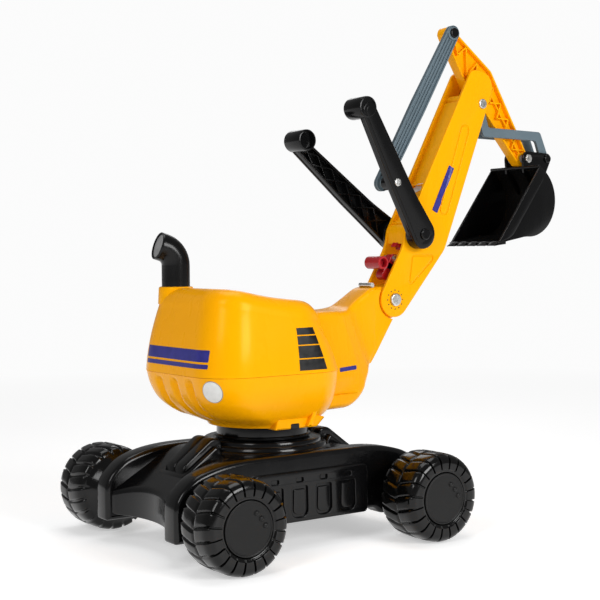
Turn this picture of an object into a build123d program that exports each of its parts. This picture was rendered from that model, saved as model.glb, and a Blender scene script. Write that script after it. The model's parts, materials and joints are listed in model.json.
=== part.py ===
from build123d import *
import math
import os

os.makedirs("parts", exist_ok=True)

# Ride on digger, millimetres.
# While it is built, X points forward along the boom, Y to the driver's left and Z up,
# with zero on the ground below the slewing axis. The last lines move the whole digger
# so that its origin is the bottom centre of its bounding box.

GAP = 0.4             # air between faces of different moving bodies
PIN_CLEARANCE = 0.05  # radial clearance of a turning pin
SEAT_CLEARANCE = 0.02  # radial clearance of a fixed pin

# wheels and chassis
WHEEL_BASE = 326
WHEEL_RADIUS = 62.7
OVERALL_WIDTH = 430
WHEEL_WIDTH = 87
LUG_COUNT = 20
LUG_HEIGHT = 3
WHEEL_WALL = 3
HUBCAP_RADIUS = 36
AXLE_RADIUS = 5
LEG_OUTER_Y = 115
LEG_INNER_Y = 80
SILL_Y = 123
SILL_HALF_LENGTH = 97
SILL_BOTTOM = 39
SILL_TOP = 108
CHASSIS_WALL = 3.5
DECK_END_X = 208
DECK_TOP = 129
RING_TOP = 143

# slewing joint
COLLAR_RADIUS = 69.5
COLLAR_TOP = 163
SLEW_BOLT_RADIUS = 6

# driver's body
SEAM_HEIGHT = 241
BODY_WALL = 3
EXHAUST_X = -107
EXHAUST_Y = 60
EXHAUST_RADIUS = 21.5
EXHAUST_BOSS_TOP = 361
EXHAUST_STRAIGHT_TOP = 391
EXHAUST_BEND_RADIUS = 27
EXHAUST_BEND_ANGLE = 72
EXHAUST_TURN = -10    # the outlet points a little to the left of straight back

# digging arm, (x, z) of every pivot at rest
FOOT = (231, 334)
KNEE = (299, 431)
LEVER_HUB = (273, 434)
ROD_LOW = (213, 512)
ROD_HIGH = (359, 753)
DIPPER_PIVOT = (415, 670)
LINK_PIVOT = (415, 644)
BUCKET_HINGE = (520, 560)
LINK_END = (564.5, 561)
LEVER_LENGTH = 223
LEVER_BACK_TILT = 33.2
LEFT_LEVER_BACK_TILT = 50.3
LEVER_SPLAY = 4.6
BOOM_HALF_WIDTH = 24
BOOM_WALL = 5
FOOT_RADIUS = 27
KNEE_RADIUS = 39.5
TOP_RADIUS = 25
DIPPER_HALF_WIDTH = 9
ROD_INNER_Y = 11
ROD_OUTER_Y = 19
ROD_END_RADIUS = 12
ROD_MIDDLE_RADIUS = 14
LINK_INNER_Y = 10.5
LINK_OUTER_Y = 17
LINK_SLOT = 1.9       # extra radius at the open pivot of each link
ROD_SLOT = 0.6        # extra radius at the open pivot of the push rod
HUB_INNER_Y = 26
HUB_OUTER_Y = 45
GRIP_RADIUS = 15.4
GRIP_LENGTH = 38
BUCKET_HALF_WIDTH = 58
BUCKET_WALL = 3
BUCKET_CENTRE = (487, 490)
BUCKET_BACK_RADIUS = 60
BOLT_RADIUS = 4
FOOT_BOLT_RADIUS = 5

# red lock lever
LOCK_PIVOT = (244, 396)
LOCK_PIN_RADIUS = 3

inner_y = BOOM_HALF_WIDTH - BOOM_WALL
nodes = {}


def polygon(*points):
    """Polygon through points in (x, z), always turned the same way."""
    pairs = zip(points, points[1:] + points[:1])
    doubled_area = sum(a[0] * b[1] - b[0] * a[1] for a, b in pairs)
    ordered = points if doubled_area > 0 else points[::-1]
    return Polygon(*ordered, align=None)


def plate(sketch, y_low, y_high):
    """Extrude an outline drawn in (x, z) from y_low to y_high."""
    plane = Plane(origin=(0, y_high, 0), x_dir=(1, 0, 0), z_dir=(0, -1, 0))
    return extrude(plane * sketch, y_high - y_low, dir=(0, -1, 0))


def both_sides(sketch, y_near, y_far):
    """The same plate at +Y and at -Y."""
    return plate(sketch, y_near, y_far) + plate(sketch, -y_far, -y_near)


def disc(point, radius):
    return Pos(point[0], point[1]) * Circle(radius)


def pin(point, radius, y_low, y_high):
    return plate(disc(point, radius), y_low, y_high)


def tangent_strip(p, rp, q, rq):
    """Outline that wraps two discs like a belt."""
    dx, dz = q[0] - p[0], q[1] - p[1]
    heading = math.atan2(dz, dx)
    spread = math.acos((rp - rq) / math.hypot(dx, dz))
    corners = []
    for centre, radius, sign in ((p, rp, 1), (q, rq, 1), (q, rq, -1), (p, rp, -1)):
        angle = heading + sign * spread
        corners.append((centre[0] + radius * math.cos(angle), centre[1] + radius * math.sin(angle)))
    return polygon(*corners) + disc(p, rp) + disc(q, rq)


def hex_prism(point, across, y_low, y_high):
    outline = Pos(point[0], point[1]) * RegularPolygon(across / 2, 6, major_radius=False)
    return plate(outline, y_low, y_high)


def bolt(point, radius, y_low, y_high, head_radius, head_height):
    """Shank from y_low to y_high with a domed head outside the -Y end."""
    shank = pin(point, radius, y_low, y_high)
    head = pin(point, head_radius, y_low - head_height, y_low)
    head = fillet(head.edges().filter_by(GeomType.CIRCLE).group_by(Axis.Y)[0], head_height * 0.6)
    return shank + head


# ---------------------------------------------------------------- chassis

def leg_outline(inset):
    bottom = 30 if inset == 0 else -10
    sill = 40 if inset == 0 else -10
    points = [
        (212, bottom), (212, 84), (184, 113), (143, 125), (110, 131),
        (-110, 131), (-143, 125), (-184, 113), (-212, 84), (-212, bottom),
        (-128, bottom), (-118, sill), (118, sill), (128, bottom),
    ]
    if inset:
        points = points[:10]
    outline = polygon(*points)
    rounded = [v for v in outline.vertices() if 80 < v.Y < 130]
    outline = fillet(rounded, 14)
    return offset(outline, -inset) if inset else outline


def deck_outline(inset):
    bottom = 40 if inset == 0 else -10
    outline = polygon(
        (DECK_END_X, bottom), (DECK_END_X, 70), (104, DECK_TOP),
        (-104, DECK_TOP), (-DECK_END_X, 70), (-DECK_END_X, bottom))
    return offset(outline, -inset) if inset else outline


def chassis_form(inset):
    deck = plate(deck_outline(inset), -LEG_INNER_Y + inset, LEG_INNER_Y - inset)
    arc_radius = 170
    for end in (-1, 1):
        hollow = Pos(end * (185 + arc_radius), 0, 60) * Cylinder(arc_radius + inset, 200)
        deck -= hollow
    legs = both_sides(leg_outline(inset), LEG_INNER_Y + inset, LEG_OUTER_Y - inset)
    form = deck + legs
    if inset == 0:
        sill = both_sides(
            Pos(0, (SILL_BOTTOM + SILL_TOP) / 2) * RectangleRounded(2 * SILL_HALF_LENGTH, SILL_TOP - SILL_BOTTOM, 5),
            LEG_OUTER_Y - 2, SILL_Y)
        form += sill
    return form


chassis = chassis_form(0)
for radius, top in ((98, 131), (92, 136), (85, RING_TOP)):
    chassis += Pos(0, 0, (100 + top) / 2) * Cylinder(radius, top - 100)
wedge_outline = polygon((86, 120), (88, 149), (100, 149), (147, 114), (151, 98), (120, 98))
wedge_outline = fillet([v for v in wedge_outline.vertices() if v.Y > 110], 3)
for end in (1, -1):
    wedge = plate(wedge_outline, -24, 24)
    chassis += wedge if end == 1 else mirror(wedge, Plane.YZ)
chassis -= chassis_form(CHASSIS_WALL)
chassis -= Pos(0, 0, 110) * Cylinder(60, 2 * (RING_TOP - 110 - 5))
chassis += Pos(0, 0, RING_TOP - 25) * Cylinder(16, 50)
chassis -= Pos(0, 0, 100) * Cylinder(SLEW_BOLT_RADIUS + SEAT_CLEARANCE, 200)
for side in (-1, 1):
    for index in range(4):
        slot_x = (index - 1.5) * 41
        slot = plate(Pos(slot_x, 74) * RectangleRounded(27, 56, 12), SILL_Y - 2, SILL_Y + 1)
        chassis -= slot if side == 1 else mirror(slot, Plane.XZ)
for end in (-1, 1):
    axle_at = (end * WHEEL_BASE / 2, WHEEL_RADIUS)
    chassis += both_sides(disc(axle_at, 12), LEG_INNER_Y - 10, LEG_OUTER_Y)
    chassis -= pin(axle_at, AXLE_RADIUS + SEAT_CLEARANCE, -140, 140)
nodes["chassis_shell"] = chassis

# ---------------------------------------------------------------- wheels and axles

wheel_outer_y = OVERALL_WIDTH / 2
wheel_inner_y = wheel_outer_y - WHEEL_WIDTH
bore = AXLE_RADIUS + PIN_CLEARANCE
tread = WHEEL_RADIUS - LUG_HEIGHT


def wheel_profile():
    """Half section in (radius, depth behind the outer face)."""
    return polygon(
        (bore, 12), (33, 12), (33, 5), (HUBCAP_RADIUS + 0.4, 5), (HUBCAP_RADIUS + 0.4, 2.5),
        (54, 2.5), (tread - 2, 6), (tread, 18), (tread, 52), (tread - 2, 64), (52, 76),
        (37.6, WHEEL_WIDTH), (bore, WHEEL_WIDTH))


def make_wheel():
    """Wheel on the Z axis with its outer face at z = 0 and its depth along -Z."""
    section = Plane.XZ * mirror(wheel_profile(), Plane.XZ)
    body = revolve(section, Axis.Z)
    cavity_section = Plane.XZ * mirror(offset(wheel_profile(), -WHEEL_WALL), Plane.XZ)
    for index in range(LUG_COUNT):
        turn = Rot(0, 0, index * 360 / LUG_COUNT)
        block = Pos((HUBCAP_RADIUS + 55) / 2 + 2, 0, -2.4) * Box(55 - HUBCAP_RADIUS - 3, 10, 4.8)
        lug = Pos(tread - 2 + (LUG_HEIGHT + 2) / 2, 0, -34) * Box(LUG_HEIGHT + 2, 10.5, 40)
        body += turn * block
        body += turn * lug
    body = body & Pos(0, 0, -WHEEL_WIDTH / 2) * Cylinder(WHEEL_RADIUS, WHEEL_WIDTH)
    return body - revolve(cavity_section, Axis.Z)


wheel = make_wheel()
hubcap = Pos(0, 0, -2.6) * Cylinder(HUBCAP_RADIUS, 4)
hubcap = fillet(hubcap.edges().group_by(Axis.Z)[-1], 1)
for angle in (20, 45, 70):
    hubcap += Rot(0, 0, angle) * Pos(24, 0, -0.6) * Cylinder(3, 1.2)
push_nuts = []
spacers = []
for end, end_name in ((1, "front"), (-1, "rear")):
    axle_at = (end * WHEEL_BASE / 2, WHEEL_RADIUS)
    nodes[end_name + "_axle"] = pin(axle_at, AXLE_RADIUS, -wheel_outer_y + 8, wheel_outer_y - 8)
    for side, side_name in ((1, "left"), (-1, "right")):
        place = Pos(axle_at[0], side * wheel_outer_y, axle_at[1]) * Rot(-90 * side, 0, 0)
        nodes["wheel_%s_%s" % (end_name, side_name)] = place * wheel
        nodes["hubcap_%s_%s" % (end_name, side_name)] = place * hubcap
        nut = Pos(0, 0, -10.4) * (Cylinder(10, 2) - Cylinder(AXLE_RADIUS + SEAT_CLEARANCE, 4))
        push_nuts.append(place * nut)
        gap_length = wheel_inner_y - LEG_OUTER_Y - 2 * GAP
        tube = Cylinder(9, gap_length) - Cylinder(AXLE_RADIUS + SEAT_CLEARANCE, gap_length + 2)
        spacers.append(Pos(axle_at[0], side * (wheel_inner_y + LEG_OUTER_Y) / 2, axle_at[1]) * Rot(90, 0, 0) * tube)
nodes["axle_push_nuts"] = push_nuts
nodes["axle_spacers"] = spacers

# ---------------------------------------------------------------- slewing joint

collar_bottom = RING_TOP + GAP
collar = Pos(0, 0, (collar_bottom + COLLAR_TOP) / 2) * Cylinder(COLLAR_RADIUS, COLLAR_TOP - collar_bottom)
collar -= Pos(0, 0, collar_bottom + 5) * Cylinder(COLLAR_RADIUS - 5, 12)
bush_radius = SLEW_BOLT_RADIUS + 4
collar += Pos(0, 0, (collar_bottom + COLLAR_TOP) / 2) * Cylinder(16, COLLAR_TOP - collar_bottom)
collar -= Pos(0, 0, 150) * Cylinder(bush_radius + SEAT_CLEARANCE, 60)
nodes["slew_collar"] = collar
tub_floor = COLLAR_TOP + 4
bush = Pos(0, 0, (collar_bottom + tub_floor) / 2) * Cylinder(bush_radius, tub_floor - collar_bottom)
nodes["slew_bush"] = bush - Pos(0, 0, 150) * Cylinder(SLEW_BOLT_RADIUS + PIN_CLEARANCE, 60)
washer_top = tub_floor + GAP + 2
washer = Pos(0, 0, washer_top - 1) * Cylinder(15, 2)
nodes["slew_washer"] = washer - Pos(0, 0, washer_top) * Cylinder(SLEW_BOLT_RADIUS + SEAT_CLEARANCE, 6)
slew_head = Pos(0, 0, washer_top + 4) * extrude(RegularPolygon(10, 6), 8 / 2, both=True)
slew_shank = Pos(0, 0, (80 + washer_top) / 2) * Cylinder(SLEW_BOLT_RADIUS, washer_top - 80)
nodes["slew_bolt"] = slew_shank + slew_head
slew_nut = Pos(0, 0, RING_TOP - 50 - 5) * extrude(RegularPolygon(10, 6), 5, both=True)
nodes["slew_nut"] = slew_nut - Pos(0, 0, 90) * Cylinder(SLEW_BOLT_RADIUS + SEAT_CLEARANCE, 40)

# ---------------------------------------------------------------- driver's body


def body_section(height, rear, front, half_width, corner, inset):
    sketch = RectangleRounded(rear + front - 2 * inset, 2 * (half_width - inset), corner - inset)
    return Pos((front - rear) / 2, 0, height) * sketch


def tub_form(inset):
    floor = COLLAR_TOP + (4 if inset else 0)
    return loft([
        body_section(floor, 76, 76, 76, 74, inset),
        body_section(181, 112, 77, 90, 56, inset),
        body_section(204, 138, 78, 106, 56, inset),
        body_section(SEAM_HEIGHT - 0.5, 149, 78, 115, 56, inset),
    ])


def seat_profile(inset):
    """Side view of the seat: a raised back, a saddle and a sloping front."""
    crest_points = [(-128, 357), (-104, 359), (-72, 353), (-30, 345), (15, 340), (36, 332), (54, 314), (84, 262)]
    crest_points = [(x, z - inset) for x, z in crest_points]
    start, finish = crest_points[0], crest_points[-1]
    rest = Polyline(finish, (finish[0] + 6, 200), (-200, 200), (-200, start[1]), start)
    return make_face(Spline(*crest_points) + rest)


def shell_form(inset):
    form = loft([
        body_section(SEAM_HEIGHT - inset, 150, 80, 116, 57, inset),
        body_section(290, 143, 60, 110, 55, inset),
        body_section(335, 134, 36, 101, 50, inset),
        body_section(362, 120, 18, 88, 44, inset),
    ])
    return form & plate(seat_profile(inset), -130, 130)


neck_plan = polygon(
    (24, -44), (130, -47), (150, -41), (164, -26), (199, -23.5), (203, -18.5), (262, -18.5),
    (262, 18.5), (203, 18.5), (199, 23.5), (164, 26), (150, 41), (130, 47), (24, 44))


def neck_form(inset):
    """Nose and neck that carry the boom; a negative inset makes the pocket it sits in."""
    outline = polygon(
        (24, 190), (60, 178), (122, 180), (148, 198), (161, 226), (164, 246), (190, 272), (214, 300),
        (231, 320), (231, 348), (212, 352), (196, 353), (184, 352), (160, 334), (134, 317), (24, 310))
    outline += disc(FOOT, FOOT_RADIUS - 3)
    plan = neck_plan
    if inset:
        outline = offset(outline, -inset)
        plan = offset(plan, -inset)
    return plate(outline, -60, 60) & Pos(0, 0, 150) * extrude(plan, 250, dir=(0, 0, 1))


pocket = neck_form(-0.15)
tub = tub_form(0) - tub_form(BODY_WALL)
tub -= pocket
tub -= Pos(0, 0, COLLAR_TOP) * Cylinder(bush_radius + SEAT_CLEARANCE, 30)
nodes["body_lower_tub"] = tub

shell = shell_form(0)
boss_base = (Align.CENTER, Align.CENTER, Align.MIN)
boss = Pos(EXHAUST_X, EXHAUST_Y, 0) * Cylinder(EXHAUST_RADIUS + 3, EXHAUST_BOSS_TOP, align=boss_base)
boss &= Pos(EXHAUST_X, EXHAUST_Y, 340) * Box(80, 80, 60)
shell += boss
shell -= shell_form(BODY_WALL)
shell -= pocket
socket = Pos(EXHAUST_X, EXHAUST_Y, 300) * Cylinder(EXHAUST_RADIUS - 4, 200)
shell -= socket
nodes["body_upper_shell"] = shell

neck = neck_form(0)
neck_hollow = neck_form(4) & Pos(100, 0, 250) * Box(190, 200, 300)
neck -= neck_hollow
neck -= pin(FOOT, 9 + SEAT_CLEARANCE, -60, 60)
nodes["neck"] = neck
foot_bush = pin(FOOT, 9, -18.5, 18.5) - pin(FOOT, FOOT_BOLT_RADIUS + SEAT_CLEARANCE, -30, 30)
nodes["boom_foot_bush"] = foot_bush
stop_pin = pin((194, 357), 3.5, -15, 15)
nodes["lock_stop_pin"] = stop_pin

# ---------------------------------------------------------------- exhaust

bend = math.radians(EXHAUST_BEND_ANGLE)
bend_centre = (EXHAUST_X - EXHAUST_BEND_RADIUS, EXHAUST_STRAIGHT_TOP)
bend_end = (
    bend_centre[0] + EXHAUST_BEND_RADIUS * math.cos(bend),
    bend_centre[1] + EXHAUST_BEND_RADIUS * math.sin(bend))
outlet_dir = (-math.sin(bend), 0, math.cos(bend))
pipe_start = Vector(EXHAUST_X, EXHAUST_Y, EXHAUST_BOSS_TOP)
pipe_top = Vector(EXHAUST_X, EXHAUST_Y, EXHAUST_STRAIGHT_TOP)
pipe_bend_end = Vector(bend_end[0], EXHAUST_Y, bend_end[1])
outlet = pipe_bend_end + Vector(*outlet_dir) * 9
pipe_path = Line(pipe_start, pipe_top) + TangentArc(pipe_top, pipe_bend_end, tangent=(0, 0, 1))
pipe_path += Line(pipe_bend_end, outlet)
pipe_section = Plane.XY.offset(EXHAUST_BOSS_TOP) * Pos(EXHAUST_X, EXHAUST_Y) * Circle(EXHAUST_RADIUS)
pipe = sweep(pipe_section, pipe_path)
bore_section = Plane.XY.offset(EXHAUST_BOSS_TOP) * Pos(EXHAUST_X, EXHAUST_Y) * Circle(EXHAUST_RADIUS - 2.5)
pipe -= sweep(bore_section, pipe_path)
cap_plane = Plane(origin=outlet - Vector(*outlet_dir) * 3, z_dir=outlet_dir)
end_disc = extrude(cap_plane * Circle(EXHAUST_RADIUS - 2.5 - SEAT_CLEARANCE), 2)
about_pipe = Pos(EXHAUST_X, EXHAUST_Y, 0) * Rot(0, 0, EXHAUST_TURN) * Pos(-EXHAUST_X, -EXHAUST_Y, 0)
nodes["exhaust_pipe"] = about_pipe * pipe
nodes["exhaust_end_disc"] = about_pipe * end_disc

# ---------------------------------------------------------------- boom

TOP_CENTRE = (413, 671)


def boom_side(inset):
    """Side view of the boom, shrunk all round by inset."""
    lower = tangent_strip(FOOT, FOOT_RADIUS - inset, KNEE, KNEE_RADIUS - inset)
    upper = tangent_strip(KNEE, KNEE_RADIUS - 1.5 - inset, TOP_CENTRE, TOP_RADIUS - inset)
    top = polygon(
        (391 + inset, 681), (397 + inset, 695 - inset), (435 - inset, 697 - inset), (438 - inset, 671),
        (415, 660))
    return lower + upper + top + disc(LEVER_HUB, 20 - inset)


boom_outline = boom_side(0)
cheeks = both_sides(boom_outline, inner_y, BOOM_HALF_WIDTH)
rim = plate(boom_outline - boom_side(4), -inner_y, inner_y)
front_web = rim & plate(polygon((270, 318), (330, 318), (460, 572), (340, 572), (318, 430)), -inner_y, inner_y)
back_web = rim & plate(polygon((240, 437), (268, 437), (400, 640), (330, 660)), -inner_y, inner_y)
cross_ribs = None
for start, finish in (((262, 452), (330, 430)), ((297, 512), (366, 512)), ((330, 575), (395, 560))):
    rib = plate(tangent_strip(start, 1.5, finish, 1.5), -inner_y, inner_y)
    cross_ribs = rib if cross_ribs is None else cross_ribs + rib
inside = plate(boom_outline, -inner_y, inner_y)
boom = cheeks + front_web + back_web + (cross_ribs & inside)
boom -= pin(FOOT, FOOT_BOLT_RADIUS + PIN_CLEARANCE, -40, 40)
boom += both_sides(disc(LEVER_HUB, 16), BOOM_HALF_WIDTH, HUB_INNER_Y - GAP)
boom -= pin(LEVER_HUB, FOOT_BOLT_RADIUS + SEAT_CLEARANCE, -60, 60)
boom -= pin(LINK_PIVOT, BOLT_RADIUS + SEAT_CLEARANCE, -60, 60)
boom -= pin(DIPPER_PIVOT, 5 + SEAT_CLEARANCE, -BOOM_HALF_WIDTH + 2, BOOM_HALF_WIDTH - 2)
boom -= pin(LOCK_PIVOT, LOCK_PIN_RADIUS + SEAT_CLEARANCE, -BOOM_HALF_WIDTH + 2, BOOM_HALF_WIDTH - 2)
nodes["boom"] = boom

foot_head_y = BOOM_HALF_WIDTH + GAP
foot_bolt = bolt(FOOT, FOOT_BOLT_RADIUS, -foot_head_y, foot_head_y + 9, 10, 4)
nodes["boom_foot_bolt"] = foot_bolt
nodes["boom_foot_nut"] = hex_prism(FOOT, 16, foot_head_y, foot_head_y + 8) - pin(
    FOOT, FOOT_BOLT_RADIUS + SEAT_CLEARANCE, 0, 60)
hub_head_y = HUB_OUTER_Y + GAP
nodes["lever_pivot_bolt"] = bolt(LEVER_HUB, FOOT_BOLT_RADIUS, -hub_head_y, hub_head_y, 9, 4)
cap_nut = pin(LEVER_HUB, 8, hub_head_y - GAP, hub_head_y + 5)
nodes["lever_pivot_nut"] = fillet(cap_nut.edges().group_by(Axis.Y)[-1], 3) - pin(
    LEVER_HUB, FOOT_BOLT_RADIUS + SEAT_CLEARANCE, 0, hub_head_y + SEAT_CLEARANCE)
nodes["link_pivot_bolt"] = bolt(LINK_PIVOT, BOLT_RADIUS, -BOOM_HALF_WIDTH, BOOM_HALF_WIDTH + 6, 8, 3)
nodes["link_pivot_nut"] = hex_prism(LINK_PIVOT, 13, BOOM_HALF_WIDTH, BOOM_HALF_WIDTH + 5) - pin(
    LINK_PIVOT, BOLT_RADIUS + SEAT_CLEARANCE, 0, 60)
nodes["dipper_pivot_pin"] = pin(DIPPER_PIVOT, 5, -BOOM_HALF_WIDTH + 2, BOOM_HALF_WIDTH - 2)

# ---------------------------------------------------------------- levers


def lever_outline(grow):
    """Arm seen from the side with the hub at zero and the grip straight up."""
    low = tangent_strip((0, 0), 22.5 + grow, (-6, 60), 17.5 + grow)
    middle = tangent_strip((-6, 60), 17.5 + grow, (-7, 100), 17 + grow)
    high = tangent_strip((-7, 100), 17 + grow, (0, LEVER_LENGTH), 12.5 + grow)
    return low + middle + high


def make_lever():
    """Right-hand lever, upright: hub at zero, grip at the top, outer side towards -Y."""
    thick = 15
    arm = plate(lever_outline(0), -HUB_OUTER_Y, -HUB_OUTER_Y + thick)
    pockets = plate(lever_outline(-4), -HUB_OUTER_Y + 4, -HUB_OUTER_Y + thick + 1)
    ribs = None
    step = 34
    for index in range(6):
        low = 20 + index * step
        for a, b in (((-20, low), (16, low + step)), ((16, low), (-20, low + step))):
            rib = plate(tangent_strip(a, 1.2, b, 1.2), -HUB_OUTER_Y + 3, -HUB_OUTER_Y + thick - 2)
            ribs = rib if ribs is None else ribs + rib
    arm = arm - pockets + (ribs & plate(lever_outline(-3), -HUB_OUTER_Y, 0))
    splay = Pos(0, -HUB_OUTER_Y, 0) * Rot(LEVER_SPLAY, 0, 0) * Pos(0, HUB_OUTER_Y, 0)
    arm = splay * arm
    arm -= pin((0, 0), 40, -HUB_INNER_Y, HUB_OUTER_Y)
    arm -= pin((0, 0), 14, -HUB_OUTER_Y - 10, -HUB_OUTER_Y)
    hub = pin((0, 0), 22.5, -HUB_OUTER_Y, -HUB_INNER_Y)
    hub = fillet(hub.edges().group_by(Axis.Y)[0], 4)
    outer_y = -HUB_OUTER_Y - LEVER_LENGTH * math.sin(math.radians(LEVER_SPLAY))
    grip = pin((0, LEVER_LENGTH), GRIP_RADIUS, outer_y, outer_y + GRIP_LENGTH)
    grip = fillet(grip.edges().filter_by(GeomType.CIRCLE), 3)
    return arm + hub + grip


lever_form = make_lever()
BORE_REACH = 80       # longer than any lever is wide


def place_lever(form, back_tilt):
    return Pos(LEVER_HUB[0], 0, LEVER_HUB[1]) * Rot(0, -back_tilt, 0) * form


right_lever = place_lever(lever_form, LEVER_BACK_TILT)
right_lever += pin(ROD_LOW, 11, -HUB_OUTER_Y, -ROD_OUTER_Y - 8)
right_lever -= pin(ROD_LOW, BOLT_RADIUS + SEAT_CLEARANCE, -BORE_REACH, 0)
right_lever -= pin(LEVER_HUB, FOOT_BOLT_RADIUS + PIN_CLEARANCE, -BORE_REACH, 0)
nodes["lever_right"] = right_lever
left_lever = place_lever(mirror(lever_form, Plane.XZ), LEFT_LEVER_BACK_TILT)
left_lever -= pin(LEVER_HUB, FOOT_BOLT_RADIUS + SEAT_CLEARANCE, 0, BORE_REACH)
left_lever -= pin(LEVER_HUB, 16 + SEAT_CLEARANCE, 0, HUB_INNER_Y - GAP + 0.01)
nodes["lever_left"] = left_lever

# ---------------------------------------------------------------- push rod

rod_length = math.dist(ROD_LOW, ROD_HIGH)
rod_heading = math.degrees(math.atan2(ROD_HIGH[1] - ROD_LOW[1], ROD_HIGH[0] - ROD_LOW[0]))
rod_middle = ((ROD_LOW[0] + ROD_HIGH[0]) / 2, (ROD_LOW[1] + ROD_HIGH[1]) / 2)
rod_outline = tangent_strip(ROD_LOW, ROD_END_RADIUS, rod_middle, ROD_MIDDLE_RADIUS)
rod_outline += tangent_strip(rod_middle, ROD_MIDDLE_RADIUS, ROD_HIGH, ROD_END_RADIUS)
rod = plate(rod_outline, -ROD_OUTER_Y, -ROD_INNER_Y)
for side_low, side_high in ((-ROD_OUTER_Y - 1, -ROD_OUTER_Y + 2.5), (-ROD_INNER_Y - 2.5, -ROD_INNER_Y + 1)):
    for shift in (-6.5, 0, 6.5):
        groove = Pos(*rod_middle) * Rot(0, 0, rod_heading) * Pos(0, shift) * SlotOverall(rod_length - 44, 4)
        rod -= plate(groove, side_low, side_high)
rod -= pin(ROD_LOW, BOLT_RADIUS + PIN_CLEARANCE, -40, 0)
rod -= pin(ROD_HIGH, BOLT_RADIUS + ROD_SLOT, -40, 0)
nodes["push_rod"] = rod
rod_spacer_y = -ROD_OUTER_Y - 8
nodes["rod_lower_bolt"] = bolt(ROD_LOW, BOLT_RADIUS, -53.4, -ROD_INNER_Y + 4, 6, 2.5)
nodes["rod_lower_spacer"] = pin(ROD_LOW, 7, rod_spacer_y, -ROD_OUTER_Y - GAP) - pin(
    ROD_LOW, BOLT_RADIUS + SEAT_CLEARANCE, -60, 0)
nodes["rod_lower_nut"] = hex_prism(ROD_LOW, 11, -ROD_INNER_Y + GAP, -ROD_INNER_Y + 3.5) - pin(
    ROD_LOW, BOLT_RADIUS + SEAT_CLEARANCE, -60, 0)

# ---------------------------------------------------------------- dipper

dipper_corner = (438, 690)


def dipper_side(inset):
    """Side view of the dipper, shrunk all round by inset."""
    crank = tangent_strip(ROD_HIGH, 11 - inset, dipper_corner, 15 - inset)
    crank += tangent_strip(ROD_HIGH, 11 - inset, DIPPER_PIVOT, 15 - inset)
    crank += tangent_strip(DIPPER_PIVOT, 15 - inset, dipper_corner, 15 - inset)
    arm = tangent_strip(dipper_corner, 15 - inset, BUCKET_HINGE, 13 - inset)
    arm += tangent_strip((430, 660), 14 - inset, BUCKET_HINGE, 13.5 - inset)
    return crank + arm


def along_dipper(share):
    return tuple(dipper_corner[k] + (BUCKET_HINGE[k] - dipper_corner[k]) * share for k in (0, 1))


dipper = plate(dipper_side(0), -DIPPER_HALF_WIDTH, DIPPER_HALF_WIDTH)
pockets = both_sides(dipper_side(3.5), 1.5, DIPPER_HALF_WIDTH + 1)
for centre, radius in ((ROD_HIGH, 9), (DIPPER_PIVOT, 12), (BUCKET_HINGE, 11)):
    pockets -= pin(centre, radius, -20, 20)
lattice = []
brace_count = 7
for index in range(brace_count):
    start = along_dipper(index / brace_count)
    finish = along_dipper((index + 1) / brace_count)
    swing = 11 if index % 2 else -11
    a = (start[0] + 0.82 * swing, start[1] + 0.57 * swing)
    b = (finish[0] - 0.82 * swing, finish[1] - 0.57 * swing)
    lattice.append((a, b))
crank_braces = [(372, 752), (392, 690), (405, 735), (425, 672), (440, 712)]
lattice += list(zip(crank_braces, crank_braces[1:]))
for a, b in lattice:
    pockets -= plate(tangent_strip(a, 1.3, b, 1.3), -20, 20)
dipper -= pockets
dipper -= pin(ROD_HIGH, BOLT_RADIUS + SEAT_CLEARANCE, -40, 40)
dipper -= pin(DIPPER_PIVOT, 5 + PIN_CLEARANCE, -40, 40)
dipper -= pin(BUCKET_HINGE, BOLT_RADIUS + PIN_CLEARANCE, -40, 40)
nodes["dipper"] = dipper
nodes["rod_upper_bolt"] = bolt(ROD_HIGH, BOLT_RADIUS, -ROD_OUTER_Y - GAP, DIPPER_HALF_WIDTH + 5, 8, 3)
nodes["rod_upper_nut"] = hex_prism(ROD_HIGH, 12, DIPPER_HALF_WIDTH, DIPPER_HALF_WIDTH + 4.5) - pin(
    ROD_HIGH, BOLT_RADIUS + SEAT_CLEARANCE, 0, 40)

# ---------------------------------------------------------------- bucket links

link_corner_low = (430, 600)
link_corner_high = (549, 598)
link_outline = tangent_strip(LINK_PIVOT, 9, link_corner_low, 7.5)
link_outline += tangent_strip(link_corner_low, 7.5, link_corner_high, 7.5)
link_outline += tangent_strip(link_corner_high, 7.5, LINK_END, 9)
for side_name, low, high in (("right", -LINK_OUTER_Y, -LINK_INNER_Y), ("left", LINK_INNER_Y, LINK_OUTER_Y)):
    link = plate(link_outline, low, high)
    link -= pin(LINK_END, BOLT_RADIUS + LINK_SLOT, -40, 40)
    link -= pin(LINK_PIVOT, BOLT_RADIUS + PIN_CLEARANCE, -40, 40)
    nodes["link_" + side_name] = link

# ---------------------------------------------------------------- bucket


def bucket_side(inset, opening):
    """Side view: a straight floor behind the lip and one round back up to the mouth's top."""
    radius = BUCKET_BACK_RADIUS - inset

    def on_back(angle):
        turn = math.radians(angle)
        return (BUCKET_CENTRE[0] + radius * math.cos(turn), BUCKET_CENTRE[1] + radius * math.sin(turn))

    floor_end, middle, top = on_back(-97), on_back(-15), on_back(66)
    slope = math.radians(10.2)
    lip_reach = 64 + opening
    lip = (floor_end[0] - lip_reach * math.cos(slope), floor_end[1] - lip_reach * math.sin(slope))
    mouth_top = (top[0] - 0.8 * opening, top[1] + 0.6 * opening)
    corners = [top, mouth_top, lip, floor_end] if opening else [top, lip, floor_end]
    return make_face(Polyline(*corners) + ThreePointArc(floor_end, middle, top))


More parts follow.
